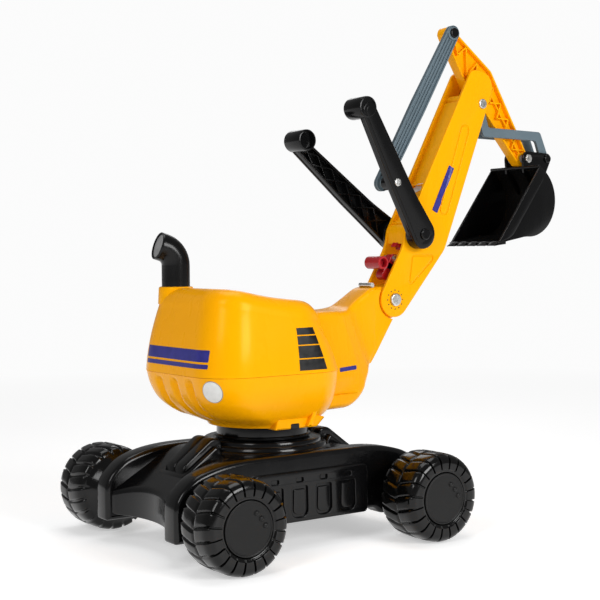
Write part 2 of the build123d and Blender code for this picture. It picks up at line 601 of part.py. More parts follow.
bucket = plate(bucket_side(0, 0), -BUCKET_HALF_WIDTH, BUCKET_HALF_WIDTH)
cavity_half = BUCKET_HALF_WIDTH - BUCKET_WALL
bucket -= plate(bucket_side(BUCKET_WALL, 50), -cavity_half, cavity_half)
for index in range(5):
    tooth_y = (index - 2) * 24
    bucket += plate(polygon((408, 415), (436, 418), (436, 424.4), (418, 421)), tooth_y - 7, tooth_y + 7)
lug_inner = LINK_OUTER_Y + 1
lug_outer = lug_inner + 4
lug = tangent_strip(BUCKET_HINGE, 12, LINK_END, 9) + polygon(
    (508.5, 556), (520, 535), (541, 500), (560, 552), (564, 560), (520, 560))
lugs = both_sides(lug, lug_inner, lug_outer) - plate(bucket_side(1, 50), -cavity_half, cavity_half)
bucket += lugs
bucket -= pin(BUCKET_HINGE, BOLT_RADIUS + SEAT_CLEARANCE, -40, 40)
bucket -= pin(LINK_END, BOLT_RADIUS + SEAT_CLEARANCE, -40, 40)
nodes["bucket"] = bucket
nodes["bucket_hinge_bolt"] = bolt(BUCKET_HINGE, BOLT_RADIUS, -lug_outer, lug_outer + 5, 7, 3)
nodes["bucket_hinge_nut"] = hex_prism(BUCKET_HINGE, 12, lug_outer, lug_outer + 4.5) - pin(
    BUCKET_HINGE, BOLT_RADIUS + SEAT_CLEARANCE, 0, 60)
hinge_spacer = both_sides(
    disc(BUCKET_HINGE, 7) - disc(BUCKET_HINGE, BOLT_RADIUS + SEAT_CLEARANCE), DIPPER_HALF_WIDTH + GAP, lug_inner)
nodes["bucket_hinge_spacers"] = hinge_spacer
nodes["link_end_pin"] = bolt(LINK_END, BOLT_RADIUS, -lug_outer, lug_outer + 2, 7, 3)

# ---------------------------------------------------------------- lock lever

LOCK_HANDLE = (214, 391)
lock_outline = tangent_strip(LOCK_PIVOT, 8, (227, 372), 8)
lock_outline += tangent_strip((236, 385), 6, LOCK_HANDLE, 6)
lock = plate(lock_outline, -8, 8)
handle = pin(LOCK_HANDLE, 10, -18, 18)
handle = handle - pin(LOCK_HANDLE, 6.5, -19, -9) - pin(LOCK_HANDLE, 6.5, 9, 19)
lock += handle
lock -= pin(LOCK_PIVOT, LOCK_PIN_RADIUS + PIN_CLEARANCE, -20, 20)
nodes["lock_lever"] = lock
nodes["lock_pivot_pin"] = pin(LOCK_PIVOT, LOCK_PIN_RADIUS, -BOOM_HALF_WIDTH + 2, BOOM_HALF_WIDTH - 2)
lock_coils = both_sides(disc(LOCK_PIVOT, 6.5) - disc(LOCK_PIVOT, LOCK_PIN_RADIUS + 0.8), 8.6, 13)
nodes["lock_spring"] = lock_coils

# ---------------------------------------------------------------- origin and files


def whole(piece):
    """A group of separate solids becomes one compound."""
    return Compound(piece) if isinstance(piece, list) else piece


placed = {name: whole(piece) for name, piece in nodes.items()}
boxes = [piece.bounding_box() for piece in placed.values()]
rear_x = min(box.min.X for box in boxes)
front_x = max(box.max.X for box in boxes)
shift_x = -(rear_x + front_x) / 2
if __name__ == "__main__":
    for name, piece in placed.items():
        export_step(Pos(shift_x, 0, 0) * piece, "parts/%s.step" % name)
    print("origin shift", round(shift_x, 3), "length", round(front_x - rear_x, 1))
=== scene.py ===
import json
import math

import bmesh
import bpy
from mathutils import Matrix, Vector
from mathutils.bvhtree import BVHTree

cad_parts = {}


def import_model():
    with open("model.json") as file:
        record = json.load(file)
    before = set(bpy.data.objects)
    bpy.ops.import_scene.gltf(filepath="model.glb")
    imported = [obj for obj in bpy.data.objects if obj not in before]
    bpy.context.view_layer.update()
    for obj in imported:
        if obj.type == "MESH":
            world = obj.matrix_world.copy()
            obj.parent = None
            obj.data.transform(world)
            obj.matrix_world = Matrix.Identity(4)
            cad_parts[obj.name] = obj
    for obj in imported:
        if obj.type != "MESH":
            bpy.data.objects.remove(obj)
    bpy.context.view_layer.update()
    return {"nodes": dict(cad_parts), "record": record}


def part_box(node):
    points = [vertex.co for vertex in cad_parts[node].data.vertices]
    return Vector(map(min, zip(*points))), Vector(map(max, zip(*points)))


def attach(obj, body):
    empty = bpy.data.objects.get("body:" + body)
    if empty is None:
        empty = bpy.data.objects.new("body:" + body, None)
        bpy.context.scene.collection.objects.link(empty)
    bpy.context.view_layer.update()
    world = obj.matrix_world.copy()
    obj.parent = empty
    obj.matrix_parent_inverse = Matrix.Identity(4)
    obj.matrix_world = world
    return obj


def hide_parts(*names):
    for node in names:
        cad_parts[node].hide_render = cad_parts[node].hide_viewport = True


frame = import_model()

# Lengths are millimetres from the foot of the slewing axis, X forward, Y to the left.
# world() turns them into metres in the frame shared with the CAD.
MM = 0.001
bolt_low, bolt_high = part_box("slew_bolt")
SLEW_X = (bolt_low[0] + bolt_high[0]) / 2


def pivot(node):
    """(x, z) of the axis of a bolt, pin or axle, to a tenth of a millimetre."""
    low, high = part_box(node)
    return round(((low[0] + high[0]) / 2 - SLEW_X) / MM, 1), round((low[2] + high[2]) / 2 / MM, 1)


FOOT = pivot("boom_foot_bolt")
LEVER_HUB = pivot("lever_pivot_bolt")
ROD_LOW = pivot("rod_lower_bolt")
ROD_HIGH = pivot("rod_upper_bolt")
DIPPER_PIVOT = pivot("dipper_pivot_pin")
LINK_PIVOT = pivot("link_pivot_bolt")
BUCKET_HINGE = pivot("bucket_hinge_bolt")
LINK_END = pivot("link_end_pin")
LOCK_PIVOT = pivot("lock_pivot_pin")
FRONT_AXLE_X, WHEEL_RADIUS = pivot("front_axle")
WHEEL_BASE = FRONT_AXLE_X - pivot("rear_axle")[0]
OVERALL_WIDTH = round(2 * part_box("wheel_front_left")[1][1] / MM, 1)
# bend and top end of the boom as (x, z), half its width, exhaust as (x, y), height of the body's seam
KNEE = (299, 431)
BOOM_TOP = (413, 671)
BOOM_HALF = 24
EXHAUST = (-107, 60)
SEAM = 241


def world(x, y, z):
    return Vector((SLEW_X + x * MM, y * MM, z * MM))


def show(name, data):
    """New object in the scene with this mesh, curve, lamp or camera."""
    shown = bpy.data.objects.new(name, data)
    bpy.context.scene.collection.objects.link(shown)
    return shown


# ---------------------------------------------------------------- materials

class Surface:
    """Node material whose patterns lie in object space."""

    def __init__(self, name):
        self.material = bpy.data.materials.new(name)
        self.material.use_nodes = True
        self.nodes = self.material.node_tree.nodes
        self.links = self.material.node_tree.links
        self.shader = self.nodes["Principled BSDF"]
        self.coords = self.nodes.new("ShaderNodeTexCoord").outputs["Object"]

    def drive(self, socket, value):
        self.links.new(value, self.shader.inputs[socket])

    def fix(self, socket, value):
        self.shader.inputs[socket].default_value = value

    def noise(self, scale, detail, stretch=None):
        """Noise texture, optionally stretched along one axis."""
        texture = self.nodes.new("ShaderNodeTexNoise")
        texture.inputs["Scale"].default_value = scale
        texture.inputs["Detail"].default_value = detail
        source = self.coords
        if stretch:
            mapping = self.nodes.new("ShaderNodeMapping")
            mapping.inputs["Scale"].default_value = stretch
            self.links.new(source, mapping.inputs["Vector"])
            source = mapping.outputs["Vector"]
        self.links.new(source, texture.inputs["Vector"])
        return texture.outputs["Fac"]

    def to_range(self, value, low, high, to_low, to_high):
        node = self.nodes.new("ShaderNodeMapRange")
        for socket, number in zip(("From Min", "From Max", "To Min", "To Max"), (low, high, to_low, to_high)):
            node.inputs[socket].default_value = number
        self.links.new(value, node.inputs["Value"])
        return node.outputs["Result"]

    def mix_colour(self, factor, a, b):
        node = self.nodes.new("ShaderNodeMix")
        node.data_type = "RGBA"
        self.links.new(factor, node.inputs["Factor"])
        for socket, value in ((node.inputs["A"], a), (node.inputs["B"], b)):
            if isinstance(value, tuple):
                socket.default_value = (*value, 1)
            else:
                self.links.new(value, socket)
        return node.outputs["Result"]

    def bump(self, height, strength, distance=0.0002, over=None):
        """Relief of height in metres, laid over another relief if one is given."""
        node = self.nodes.new("ShaderNodeBump")
        node.inputs["Strength"].default_value = strength
        node.inputs["Distance"].default_value = distance
        self.links.new(height, node.inputs["Height"])
        if over:
            self.links.new(over, node.inputs["Normal"])
        return node.outputs["Normal"]


def moulded_plastic(name, colour, shade, worn, rough, grain_scale, grain, coat, gloss=0.3, tint=(1, 1, 1)):
    """Moulded plastic: cloudy colour, pale worn edges, scuffed gloss and a fine grain."""
    surface = Surface(name)
    cloud = surface.to_range(surface.noise(9, 4), 0.35, 0.65, 0, 1)
    geometry = surface.nodes.new("ShaderNodeNewGeometry")
    edge = surface.to_range(geometry.outputs["Pointiness"], 0.53, 0.62, 0, 0.35)
    surface.drive("Base Color", surface.mix_colour(edge, surface.mix_colour(cloud, colour, shade), worn))
    scuffed = surface.nodes.new("ShaderNodeMath")
    scuffed.operation = "MULTIPLY"
    surface.links.new(surface.noise(60, 6, (1, 1, 0.18)), scuffed.inputs[0])
    surface.links.new(surface.noise(14, 5), scuffed.inputs[1])
    surface.drive("Roughness", surface.to_range(scuffed.outputs["Value"], 0.12, 0.42, *rough))
    fine_relief = surface.bump(surface.noise(grain_scale, 2), grain)
    surface.drive("Normal", surface.bump(surface.noise(22, 1), 0.04, 0.002, fine_relief))
    surface.fix("Specular IOR Level", gloss)
    surface.fix("Specular Tint", (*tint, 1))
    surface.fix("Coat Weight", coat)
    surface.fix("Coat Roughness", 0.12)
    return surface.material


def plated_steel(name):
    surface = Surface(name)
    stain = surface.to_range(surface.noise(90, 5), 0.4, 0.7, 0, 1)
    surface.drive("Base Color", surface.mix_colour(stain, (0.72, 0.72, 0.70), (0.48, 0.47, 0.44)))
    brushed = surface.noise(300, 3, (1, 0.1, 1))
    surface.drive("Roughness", surface.to_range(brushed, 0.3, 0.7, 0.18, 0.42))
    surface.drive("Normal", surface.bump(brushed, 0.2))
    surface.fix("Metallic", 1.0)
    return surface.material


def printed_film(name, colour, faded):
    """Printed sticker film with slight fading and a faint orange peel."""
    surface = Surface(name)
    patches = surface.to_range(surface.noise(120, 5), 0.35, 0.7, 0, 1)
    surface.drive("Base Color", surface.mix_colour(patches, colour, faded))
    surface.drive("Roughness", surface.to_range(patches, 0, 1, 0.28, 0.42))
    surface.drive("Normal", surface.bump(surface.noise(1500, 1), 0.1))
    return surface.material


YELLOW = moulded_plastic(
    "yellow_moulding", colour=(1.0, 0.425, 0.0003), shade=(0.98, 0.405, 0.0003), worn=(1.0, 0.50, 0.01),
    rough=(0.24, 0.33), grain_scale=1400, grain=0.15, coat=0.04, gloss=0.28, tint=(1, 0.72, 0.12))
BLACK = moulded_plastic(
    "black_moulding", colour=(0.0018, 0.0018, 0.002), shade=(0.003, 0.003, 0.0033),
    worn=(0.02, 0.02, 0.02), rough=(0.12, 0.24), grain_scale=1100, grain=0.15, coat=0.15, gloss=0.22)
LEVER_BLACK = moulded_plastic(
    "black_lever_moulding", colour=(0.0016, 0.0016, 0.0018), shade=(0.0026, 0.0026, 0.0028),
    worn=(0.02, 0.02, 0.02), rough=(0.15, 0.28), grain_scale=1300, grain=0.15, coat=0.1, gloss=0.2)
WHEEL_BLACK = moulded_plastic(
    "black_wheel_moulding", colour=(0.0014, 0.0014, 0.0014), shade=(0.0022, 0.0022, 0.0022),
    worn=(0.02, 0.02, 0.02), rough=(0.10, 0.20), grain_scale=900, grain=0.12, coat=0.2, gloss=0.22)
HUBCAP_BLACK = moulded_plastic(
    "matt_hubcap_moulding", colour=(0.0032, 0.0032, 0.0032), shade=(0.0048, 0.0048, 0.0048),
    worn=(0.02, 0.02, 0.02), rough=(0.34, 0.48), grain_scale=2200, grain=0.4, coat=0.0, gloss=0.26)
GREY = moulded_plastic(
    "slate_grey_moulding", colour=(0.125, 0.17, 0.20), shade=(0.10, 0.14, 0.165), worn=(0.30, 0.36, 0.39),
    rough=(0.34, 0.52), grain_scale=1200, grain=0.35, coat=0.0)
RED = moulded_plastic(
    "red_moulding", colour=(0.42, 0.006, 0.012), shade=(0.34, 0.005, 0.010), worn=(0.7, 0.05, 0.05),
    rough=(0.22, 0.40), grain_scale=1300, grain=0.25, coat=0.2)
STEEL = plated_steel("plated_steel")
BLACK_FILM = printed_film("black_film", (0.002, 0.002, 0.002), (0.004, 0.004, 0.004))
BLUE_FILM = printed_film("blue_film", (0.018, 0.018, 0.20), (0.026, 0.024, 0.25))
WHITE_FILM = printed_film("white_film", (0.80, 0.80, 0.78), (0.70, 0.70, 0.68))
GREY_FILM = printed_film("grey_film", (0.30, 0.30, 0.30), (0.24, 0.24, 0.24))

SLOT_MATERIALS = {
    "yellow_plastic": YELLOW,
    "black_plastic": BLACK,
    "black_lever_plastic": LEVER_BLACK,
    "wheel_plastic": WHEEL_BLACK,
    "hubcap_plastic": HUBCAP_BLACK,
    "grey_plastic": GREY,
    "red_plastic": RED,
    "steel": STEEL,
}

# ---------------------------------------------------------------- outlines in (x, z)


def on_circle(circle, angle):
    return (circle[0] + circle[2] * math.cos(angle), circle[1] + circle[2] * math.sin(angle))


def wrap_angle(angle):
    """Turn between -160 and +200 degrees, so that a half turn counts as a left turn."""
    return (angle + 0.9 * math.pi) % (2 * math.pi) - 0.9 * math.pi


def arc(circle, start, turn, steps):
    return [on_circle(circle, start + turn * i / steps) for i in range(steps + 1)]


def meet(p, p_dir, q, q_dir):
    """Where the line through p meets the line through q."""
    det = p_dir[0] * q_dir[1] - p_dir[1] * q_dir[0]
    share = ((q[0] - p[0]) * q_dir[1] - (q[1] - p[1]) * q_dir[0]) / det
    return (p[0] + share * p_dir[0], p[1] + share * p_dir[1])


def tangent_angle(a, b):
    """Direction from the centres to the straight stretch that runs on the right from disc a to disc b."""
    heading = math.atan2(b[1] - a[1], b[0] - a[0])
    return heading - math.acos(max(-1, min(1, (a[2] - b[2]) / math.dist(a[:2], b[:2]))))


def loop(circles, soft=8.0):
    """Closed outline of a belt laid anticlockwise outside the circles (x, z, radius)."""
    count = len(circles)
    legs = []
    for i in range(count):
        a, b = circles[i], circles[(i + 1) % count]
        angle = tangent_angle(a, b)
        legs.append((angle, on_circle(a, angle), on_circle(b, angle)))
    points = []
    for i in range(count):
        before, after = legs[i - 1], legs[i]
        turn = wrap_angle(after[0] - before[0])
        if turn >= -1e-6:
            steps = max(1, int(math.degrees(turn) / 9))
            points += arc(circles[i], before[0], turn, steps)
        else:
            in_dir = (before[2][0] - before[1][0], before[2][1] - before[1][1])
            out_dir = (after[2][0] - after[1][0], after[2][1] - after[1][1])
            corner = meet(before[1], in_dir, after[1], out_dir)
            points += round_corner(before[1], corner, after[2], soft, 5)
    return points


def belt(circles, soft=8.0):
    """Outline round an open chain of discs."""
    return loop(list(circles) + list(circles[-2:0:-1]), soft)


def round_corner(previous, corner, following, reach, steps):
    def towards(target):
        span = math.dist(corner, target)
        share = min(reach, span * 0.45) / span
        return (corner[0] + (target[0] - corner[0]) * share, corner[1] + (target[1] - corner[1]) * share)

    start, finish = towards(previous), towards(following)
    points = []
    for i in range(steps + 1):
        t = i / steps
        points.append(tuple(
            (1 - t) ** 2 * start[k] + 2 * t * (1 - t) * corner[k] + t * t * finish[k] for k in (0, 1)))
    return points


def rounded(corners, steps=5):
    """Closed outline from corners (x, z, reach of the rounding)."""
    points = []
    for i, (x, z, reach) in enumerate(corners):
        previous, following = corners[i - 1][:2], corners[(i + 1) % len(corners)][:2]
        if reach:
            points += round_corner(previous, (x, z), following, reach, steps)
        else:
            points.append((x, z))
    return points


def ring(centre, radius, steps=32):
    return [(centre[0] + radius * math.cos(2 * math.pi * i / steps),
             centre[1] + radius * math.sin(2 * math.pi * i / steps)) for i in range(steps)]


def shrink(circles, inset):
    return [(x, z, radius - inset) for x, z, radius in circles]


# ---------------------------------------------------------------- solids

def plate(outlines, y_low, y_high, edge=1.5, steps=3):
    """Plate with rounded edges; later outlines inside the first are holes, and islands in holes."""
    if not isinstance(outlines[0], list):
        outlines = [outlines]
    curve = bpy.data.curves.new("outline", "CURVE")
    curve.dimensions = "2D"
    curve.fill_mode = "BOTH"
    for outline in outlines:
        spline = curve.splines.new("POLY")
        spline.points.add(len(outline) - 1)
        for point, (x, z) in zip(spline.points, outline):
            point.co = (x * MM, z * MM, 0, 1)
        spline.use_cyclic_u = True
    curve.extrude = max(0.00001, ((y_high - y_low) / 2 - edge) * MM)
    curve.bevel_depth = edge * MM
    curve.bevel_resolution = steps
    curve.offset = -edge * MM
    carrier = show("outline", curve)
    bpy.context.view_layer.update()
    mesh = bpy.data.meshes.new_from_object(carrier.evaluated_get(bpy.context.evaluated_depsgraph_get()))
    bpy.data.objects.remove(carrier)
    bpy.data.curves.remove(curve)
    middle = (y_low + y_high) / 2 * MM
    verts = [Vector((v.co.x, middle - v.co.z, v.co.y)) for v in mesh.vertices]
    faces = [tuple(p.vertices) for p in mesh.polygons]
    bpy.data.meshes.remove(mesh)
    return verts, faces


def both_plates(outlines, y_near, y_far, edge=1.5):
    return [plate(outlines, y_near, y_far, edge), plate(outlines, -y_far, -y_near, edge)]


def grid(rows, cap_start=False, cap_end=False):
    """Surface through rows of points, each row a closed ring."""
    verts = [Vector(p) * MM for row in rows for p in row]
    width = len(rows[0])
    faces = []
    for i in range(len(rows) - 1):
        for j in range(width):
            k = (j + 1) % width
            faces.append((i * width + j, i * width + k, (i + 1) * width + k, (i + 1) * width + j))
    if cap_start:
        faces.append(tuple(range(width))[::-1])
    if cap_end:
        faces.append(tuple(range((len(rows) - 1) * width, len(rows) * width)))
    return verts, faces


def lathe(profile, centre, axis="Z", steps=72):
    """Turn (radius, height) points about an axis through centre; radius 0 closes an end."""
    rows = []
    for radius, height in profile:
        row = []
        for i in range(steps):
            turn = 2 * math.pi * i / steps
            a, b = max(radius, 0.01) * math.cos(turn), max(radius, 0.01) * math.sin(turn)
            if axis == "Z":
                row.append((centre[0] + a, centre[1] + b, centre[2] + height))
            else:
                row.append((centre[0] + b, centre[1] + height, centre[2] + a))
        rows.append(row)
    return grid(rows)


def ribbon(points, thickness, y_low, y_high):
    """Wall that follows open points in (x, z), with the material on the left of their direction."""
    rows = []
    for i, point in enumerate(points):
        before = points[max(i - 1, 0)]
        after = points[min(i + 1, len(points) - 1)]
        heading = math.atan2(after[1] - before[1], after[0] - before[0])
        normal = (-math.sin(heading), math.cos(heading))
        inner = (point[0] + normal[0] * thickness, point[1] + normal[1] * thickness)
        rows.append([
            (point[0], y_low, point[1]), (point[0], y_high, point[1]),
            (inner[0], y_high, inner[1]), (inner[0], y_low, inner[1])])
    return grid(rows, cap_start=True, cap_end=True)


def moved(solid, matrix):
    verts, faces = solid
    return [matrix @ v for v in verts], faces


def piece(name, solids, body, slot, replaces=(), material=None, sharp=38):
    """Join solids given in metres from the slewing axis into one named piece that rides on body."""
    mesh = bpy.data.meshes.new(name)
    verts, faces = [], []
    for solid_verts, solid_faces in solids:
        start = len(verts)
        verts += [Vector((SLEW_X, 0, 0)) + v for v in solid_verts]
        faces += [tuple(start + i for i in face) for face in solid_faces]
    mesh.from_pydata(verts, [], faces)
    shape = bmesh.new()
    shape.from_mesh(mesh)
    bmesh.ops.remove_doubles(shape, verts=shape.verts, dist=0.00002)
    bmesh.ops.dissolve_degenerate(shape, edges=shape.edges, dist=0.00001)
    bmesh.ops.recalc_face_normals(shape, faces=shape.faces)
    shape.to_mesh(mesh)
    shape.free()
    mesh.shade_smooth()
    mesh.set_sharp_from_angle(angle=math.radians(sharp))
    obj = show(name, mesh)
    mesh.materials.append(material or SLOT_MATERIALS[slot])
    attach(obj, body)
    if replaces:
        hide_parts(*replaces)
    return obj


# ---------------------------------------------------------------- CAD nodes that stay

NODE_SLOTS = {part["node"]: part["material_slot"] for part in frame["record"]["subparts"]}
for node_name, node_object in frame["nodes"].items():
    material = SLOT_MATERIALS[NODE_SLOTS[node_name]]
    if not node_object.material_slots:
        node_object.data.materials.append(material)
    for material_slot in node_object.material_slots:
        material_slot.material = material

# the lever bolt shows as a black cap
for material_slot in frame["nodes"]["lever_pivot_bolt"].material_slots:
    material_slot.material = LEVER_BLACK

# ---------------------------------------------------------------- chassis

LEG_NEAR_Y, LEG_FAR_Y = 80, 115
leg_corners = [
    (-212, 30, 5), (-130, 30, 6), (-119, 40, 8), (119, 40, 8), (130, 30, 6), (212, 30, 5), (212, 86, 16),
    (184, 115, 20), (143, 127, 24), (104, 131, 20), (-104, 131, 20), (-143, 127, 24), (-184, 115, 20),
    (-212, 86, 16)]
legs = both_plates(rounded(leg_corners), LEG_NEAR_Y, LEG_FAR_Y, 7)

# the deck's ends are hollowed by an arc, and its top slopes down beyond the flat middle
DECK_HALF, DECK_STEPS, DECK_TOP, FLAT_END = 83, 32, 129, 104
ARC_CENTRE_X, ARC_RADIUS, DECK_FALL = 355, 170, 59 / 104
deck_rows = []
for step in range(DECK_STEPS + 1):
    y = -DECK_HALF + 2 * DECK_HALF * step / DECK_STEPS
    end_x = ARC_CENTRE_X - math.sqrt(ARC_RADIUS ** 2 - min(abs(y), LEG_NEAR_Y) ** 2)
    slope_z = DECK_TOP - (end_x - FLAT_END) * DECK_FALL
    corners = [
        (-end_x, 40, 2), (end_x, 40, 2), (end_x, slope_z, 7), (FLAT_END, DECK_TOP, 20),
        (-FLAT_END, DECK_TOP, 20), (-end_x, slope_z, 7)]
    deck_rows.append([(x, y, z) for x, z in rounded(corners)])
deck = grid(deck_rows, cap_start=True, cap_end=True)

hub_profile = [
    (0, 60), (60, 60), (100, 100), (99, 127), (98, 129.5), (96.5, 131), (92.6, 131.6), (92, 134.4),
    (90.8, 136), (86.2, 136.4), (85.2, 137.4), (85, 141), (84.4, 142.4), (83, 143), (72, 143), (71, 142),
    (0, 142)]
hub = lathe(hub_profile, (0, 0, 0), steps=96)

wedge_corners = [(80, 122, 0), (86, 148, 5), (100, 150, 7), (147, 115, 7), (151, 97, 3), (118, 96, 0)]
axle_boss = [(5.2, 0), (12, 0), (12, 44), (11, 45), (5.2, 45)]
skirt_corners = [(82, 118, 0), (98, 141, 6), (156, 100, 6), (160, 88, 2), (120, 88, 0)]
chassis_solids = legs + [deck, hub]
for end in (1, -1):
    outline = [(end * x, z) for x, z in rounded(wedge_corners)]
    chassis_solids.append(plate(outline, 0.7, 24.5, 3))
    chassis_solids.append(plate(outline, -24.5, -0.7, 3))
    skirt = [(end * x, z) for x, z in rounded(skirt_corners)]
    chassis_solids.append(plate(skirt, -34, 34, 4))
    for side in (1, -1):
        boss = lathe(axle_boss, (end * WHEEL_BASE / 2, 70.2, WHEEL_RADIUS), "Y", 40)
        chassis_solids.append(boss if side == 1 else moved(boss, Matrix.Diagonal((1, -1, 1, 1))))

# side sills with four U shaped recesses and a notch above each
sill_outline = rounded([(-97, 39, 7), (97, 39, 7), (97, 108, 10), (-97, 108, 10)])
RECESS_PITCH = 41
recesses, islands = [], []
for index in range(4):
    x = (index - 1.5) * RECESS_PITCH
    recesses.append(rounded([(x - 14, 45, 12), (x + 14, 45, 12), (x + 13, 88, 3), (x - 13, 88, 3)]))
    recesses.append(rounded([(x - 6, 94, 1.5), (x + 6, 94, 1.5), (x + 6, 100, 1.5), (x - 6, 100, 1.5)]))
    islands.append(rounded([(x - 10.5, 49, 9), (x + 10.5, 49, 9), (x + 9.5, 84, 3), (x - 9.5, 84, 3)]))
chassis_solids += both_plates([sill_outline] + recesses, 117, 122.8, 1.1)
chassis_solids += both_plates(sill_outline, 112, 119.6, 1.1)
for island in islands:
    chassis_solids += both_plates(island, 118, 121.4, 0.9)
piece("chassis_moulding", chassis_solids, "chassis", "black_plastic", ["chassis_shell"])

collar_profile = [
    (0, 143.6), (68, 143.6), (69.3, 145), (69.5, 147.5), (66.8, 149), (66.6, 160), (66.2, 162.4),
    (64, 163), (0, 163)]
collar = lathe(collar_profile, (0, 0, 0), steps=96)
piece("turntable_collar", [collar], "superstructure", "black_plastic", ["slew_collar"])

# ---------------------------------------------------------------- wheels

LUG_PITCH = 2 * math.pi / 20


def smooth_step(value, low, high):
    t = max(0.0, min(1.0, (value - low) / (high - low)))
    return t * t * (3 - 2 * t)


def bar(angle, half_width, soft):
    """1 on a lug, 0 between lugs, for lugs every LUG_PITCH."""
    off = abs((angle / LUG_PITCH + 0.5) % 1 - 0.5) * LUG_PITCH
    return 1 - smooth_step(off, half_width, half_width + soft)


# section of the wheel as (radius, depth behind the outer face, outer lug share, inner lug share)
wheel_section = [
    (5.2, 12, 0, 0), (20, 12, 0, 0), (32.4, 12, 0, 0), (33, 11.6, 0, 0), (33, 5.4, 0, 0), (33.4, 5, 0, 0),
    (36.2, 5, 0, 0), (36.8, 4.6, 0, 0), (37.0, 3.2, 0, 0), (37.6, 2.6, 0, 0), (39.2, 2.6, 0, 0),
    (40.2, 2.8, 0.2, 0), (40.9, 3.0, 0.9, 0), (42, 3.0, 1, 0), (45, 3.0, 1, 0), (49, 3.1, 1, 0),
    (52.5, 3.6, 1, 0), (55.3, 5.0, 1, 0), (57.4, 7.6, 1, 0), (58.7, 11, 1, 0), (59.3, 15, 1, 0),
    (59.5, 20, 1, 0), (59.6, 25, 1, 0), (59.6, 30, 1, 0), (59.6, 33, 0.9, 0.1), (59.6, 35, 0.5, 0.5),
    (59.6, 37, 0.1, 0.9), (59.6, 40, 0, 1), (59.6, 46, 0, 1), (59.5, 52, 0, 1), (59.2, 58, 0, 1),
    (58.2, 64, 0, 1), (56.6, 68.5, 0, 1), (54.6, 71.5, 0, 0.8), (52.5, 73.2, 0, 0.2), (50, 75, 0, 0),
    (46, 78.5, 0, 0), (41, 83, 0, 0), (38, 86, 0, 0), (36.6, 87, 0, 0), (30, 87, 0, 0), (5.2, 87, 0, 0)]
WHEEL_STEPS = 300
LUG_HEIGHT = 3.1


def wheel_rows(end, side):
    rows = []
    for index, (radius, depth, outer, inner) in enumerate(wheel_section):
        ahead = wheel_section[min(index + 1, len(wheel_section) - 1)]
        behind = wheel_section[max(index - 1, 0)]
        along = Vector((ahead[0] - behind[0], ahead[1] - behind[1])).normalized()
        out = Vector((along.y, -along.x))
        row = []
        for step in range(WHEEL_STEPS):
            turn = 2 * math.pi * step / WHEEL_STEPS
            lean = 0.004 * max(0, depth - 8)
            lift = outer * bar(turn + lean, 0.126, 0.022)
            lift = max(lift, inner * bar(turn + LUG_PITCH / 2 - 0.004 * (depth - 36), 0.112, 0.022))
            here_r = radius + out.x * lift * LUG_HEIGHT
            here_d = max(0.1, depth + out.y * lift * LUG_HEIGHT)
            row.append((
                end * WHEEL_BASE / 2 + here_r * math.sin(turn),
                side * (OVERALL_WIDTH / 2 - here_d),
                WHEEL_RADIUS + here_r * math.cos(turn)))
        rows.append(row)
    return rows


hubcap_profile = [
    (0, 4.6), (33, 4.6), (35.2, 4.4), (35.9, 3.6), (36, 2.6), (35.6, 1.9), (34.8, 1.6), (33.8, 1.7),
    (33, 2.4), (20, 2.5), (0, 2.5)]
dot_profile = [(0, 0.3), (1.6, 0.4), (2.8, 0.9), (3.5, 1.7), (3.8, 2.8), (0, 3)]
for end, end_name in ((1, "front"), (-1, "rear")):
    for side, side_name in ((1, "left"), (-1, "right")):
        where = "%s_%s" % (end_name, side_name)
        body = "wheel_" + where
        tyre = grid(wheel_rows(end, side))
        piece("tyre_" + where, [tyre], body, "wheel_plastic", ["wheel_" + where], sharp=60)
        centre = (end * WHEEL_BASE / 2, side * OVERALL_WIDTH / 2, WHEEL_RADIUS)
        cap = [lathe([(r, -side * d) for r, d in hubcap_profile], centre, "Y", 96)]
        for angle, far in ((58, 22), (30, 22), (4, 25)):
            turn = math.radians(angle)
            dot = (centre[0] - side * far * math.cos(turn), centre[1], centre[2] + far * math.sin(turn))
            cap.append(lathe([(r, -side * d) for r, d in dot_profile], dot, "Y", 28))
        piece("hub_cover_" + where, cap, body, "hubcap_plastic", ["hubcap_" + where])

# ---------------------------------------------------------------- driver's body


def ease_keys(keys, z):
    """Smooth values between rows of (z, values...)."""
    if z <= keys[0][0]:
        return keys[0][1:]
    if z >= keys[-1][0]:
        return keys[-1][1:]
    i = max(k for k in range(len(keys) - 1) if keys[k][0] <= z)
    z0, z1 = keys[i][0], keys[i + 1][0]
    t = (z - z0) / (z1 - z0)
    result = []
    for column in range(1, len(keys[0])):
        a, b = keys[i][column], keys[i + 1][column]
        before = (b - a) / (z1 - z0)
        into = before if i == 0 else (b - keys[i - 1][column]) / (z1 - keys[i - 1][0])
        out = before if i == len(keys) - 2 else (keys[i + 2][column] - a) / (keys[i + 2][0] - z0)
        h = z1 - z0
        result.append(
            (2 * t ** 3 - 3 * t ** 2 + 1) * a + (t ** 3 - 2 * t ** 2 + t) * h * into
            + (-2 * t ** 3 + 3 * t ** 2) * b + (t ** 3 - t ** 2) * h * out)
    return tuple(result)


SIDE_STEPS, END_STEPS, CORNER_STEPS = 18, 34, 12


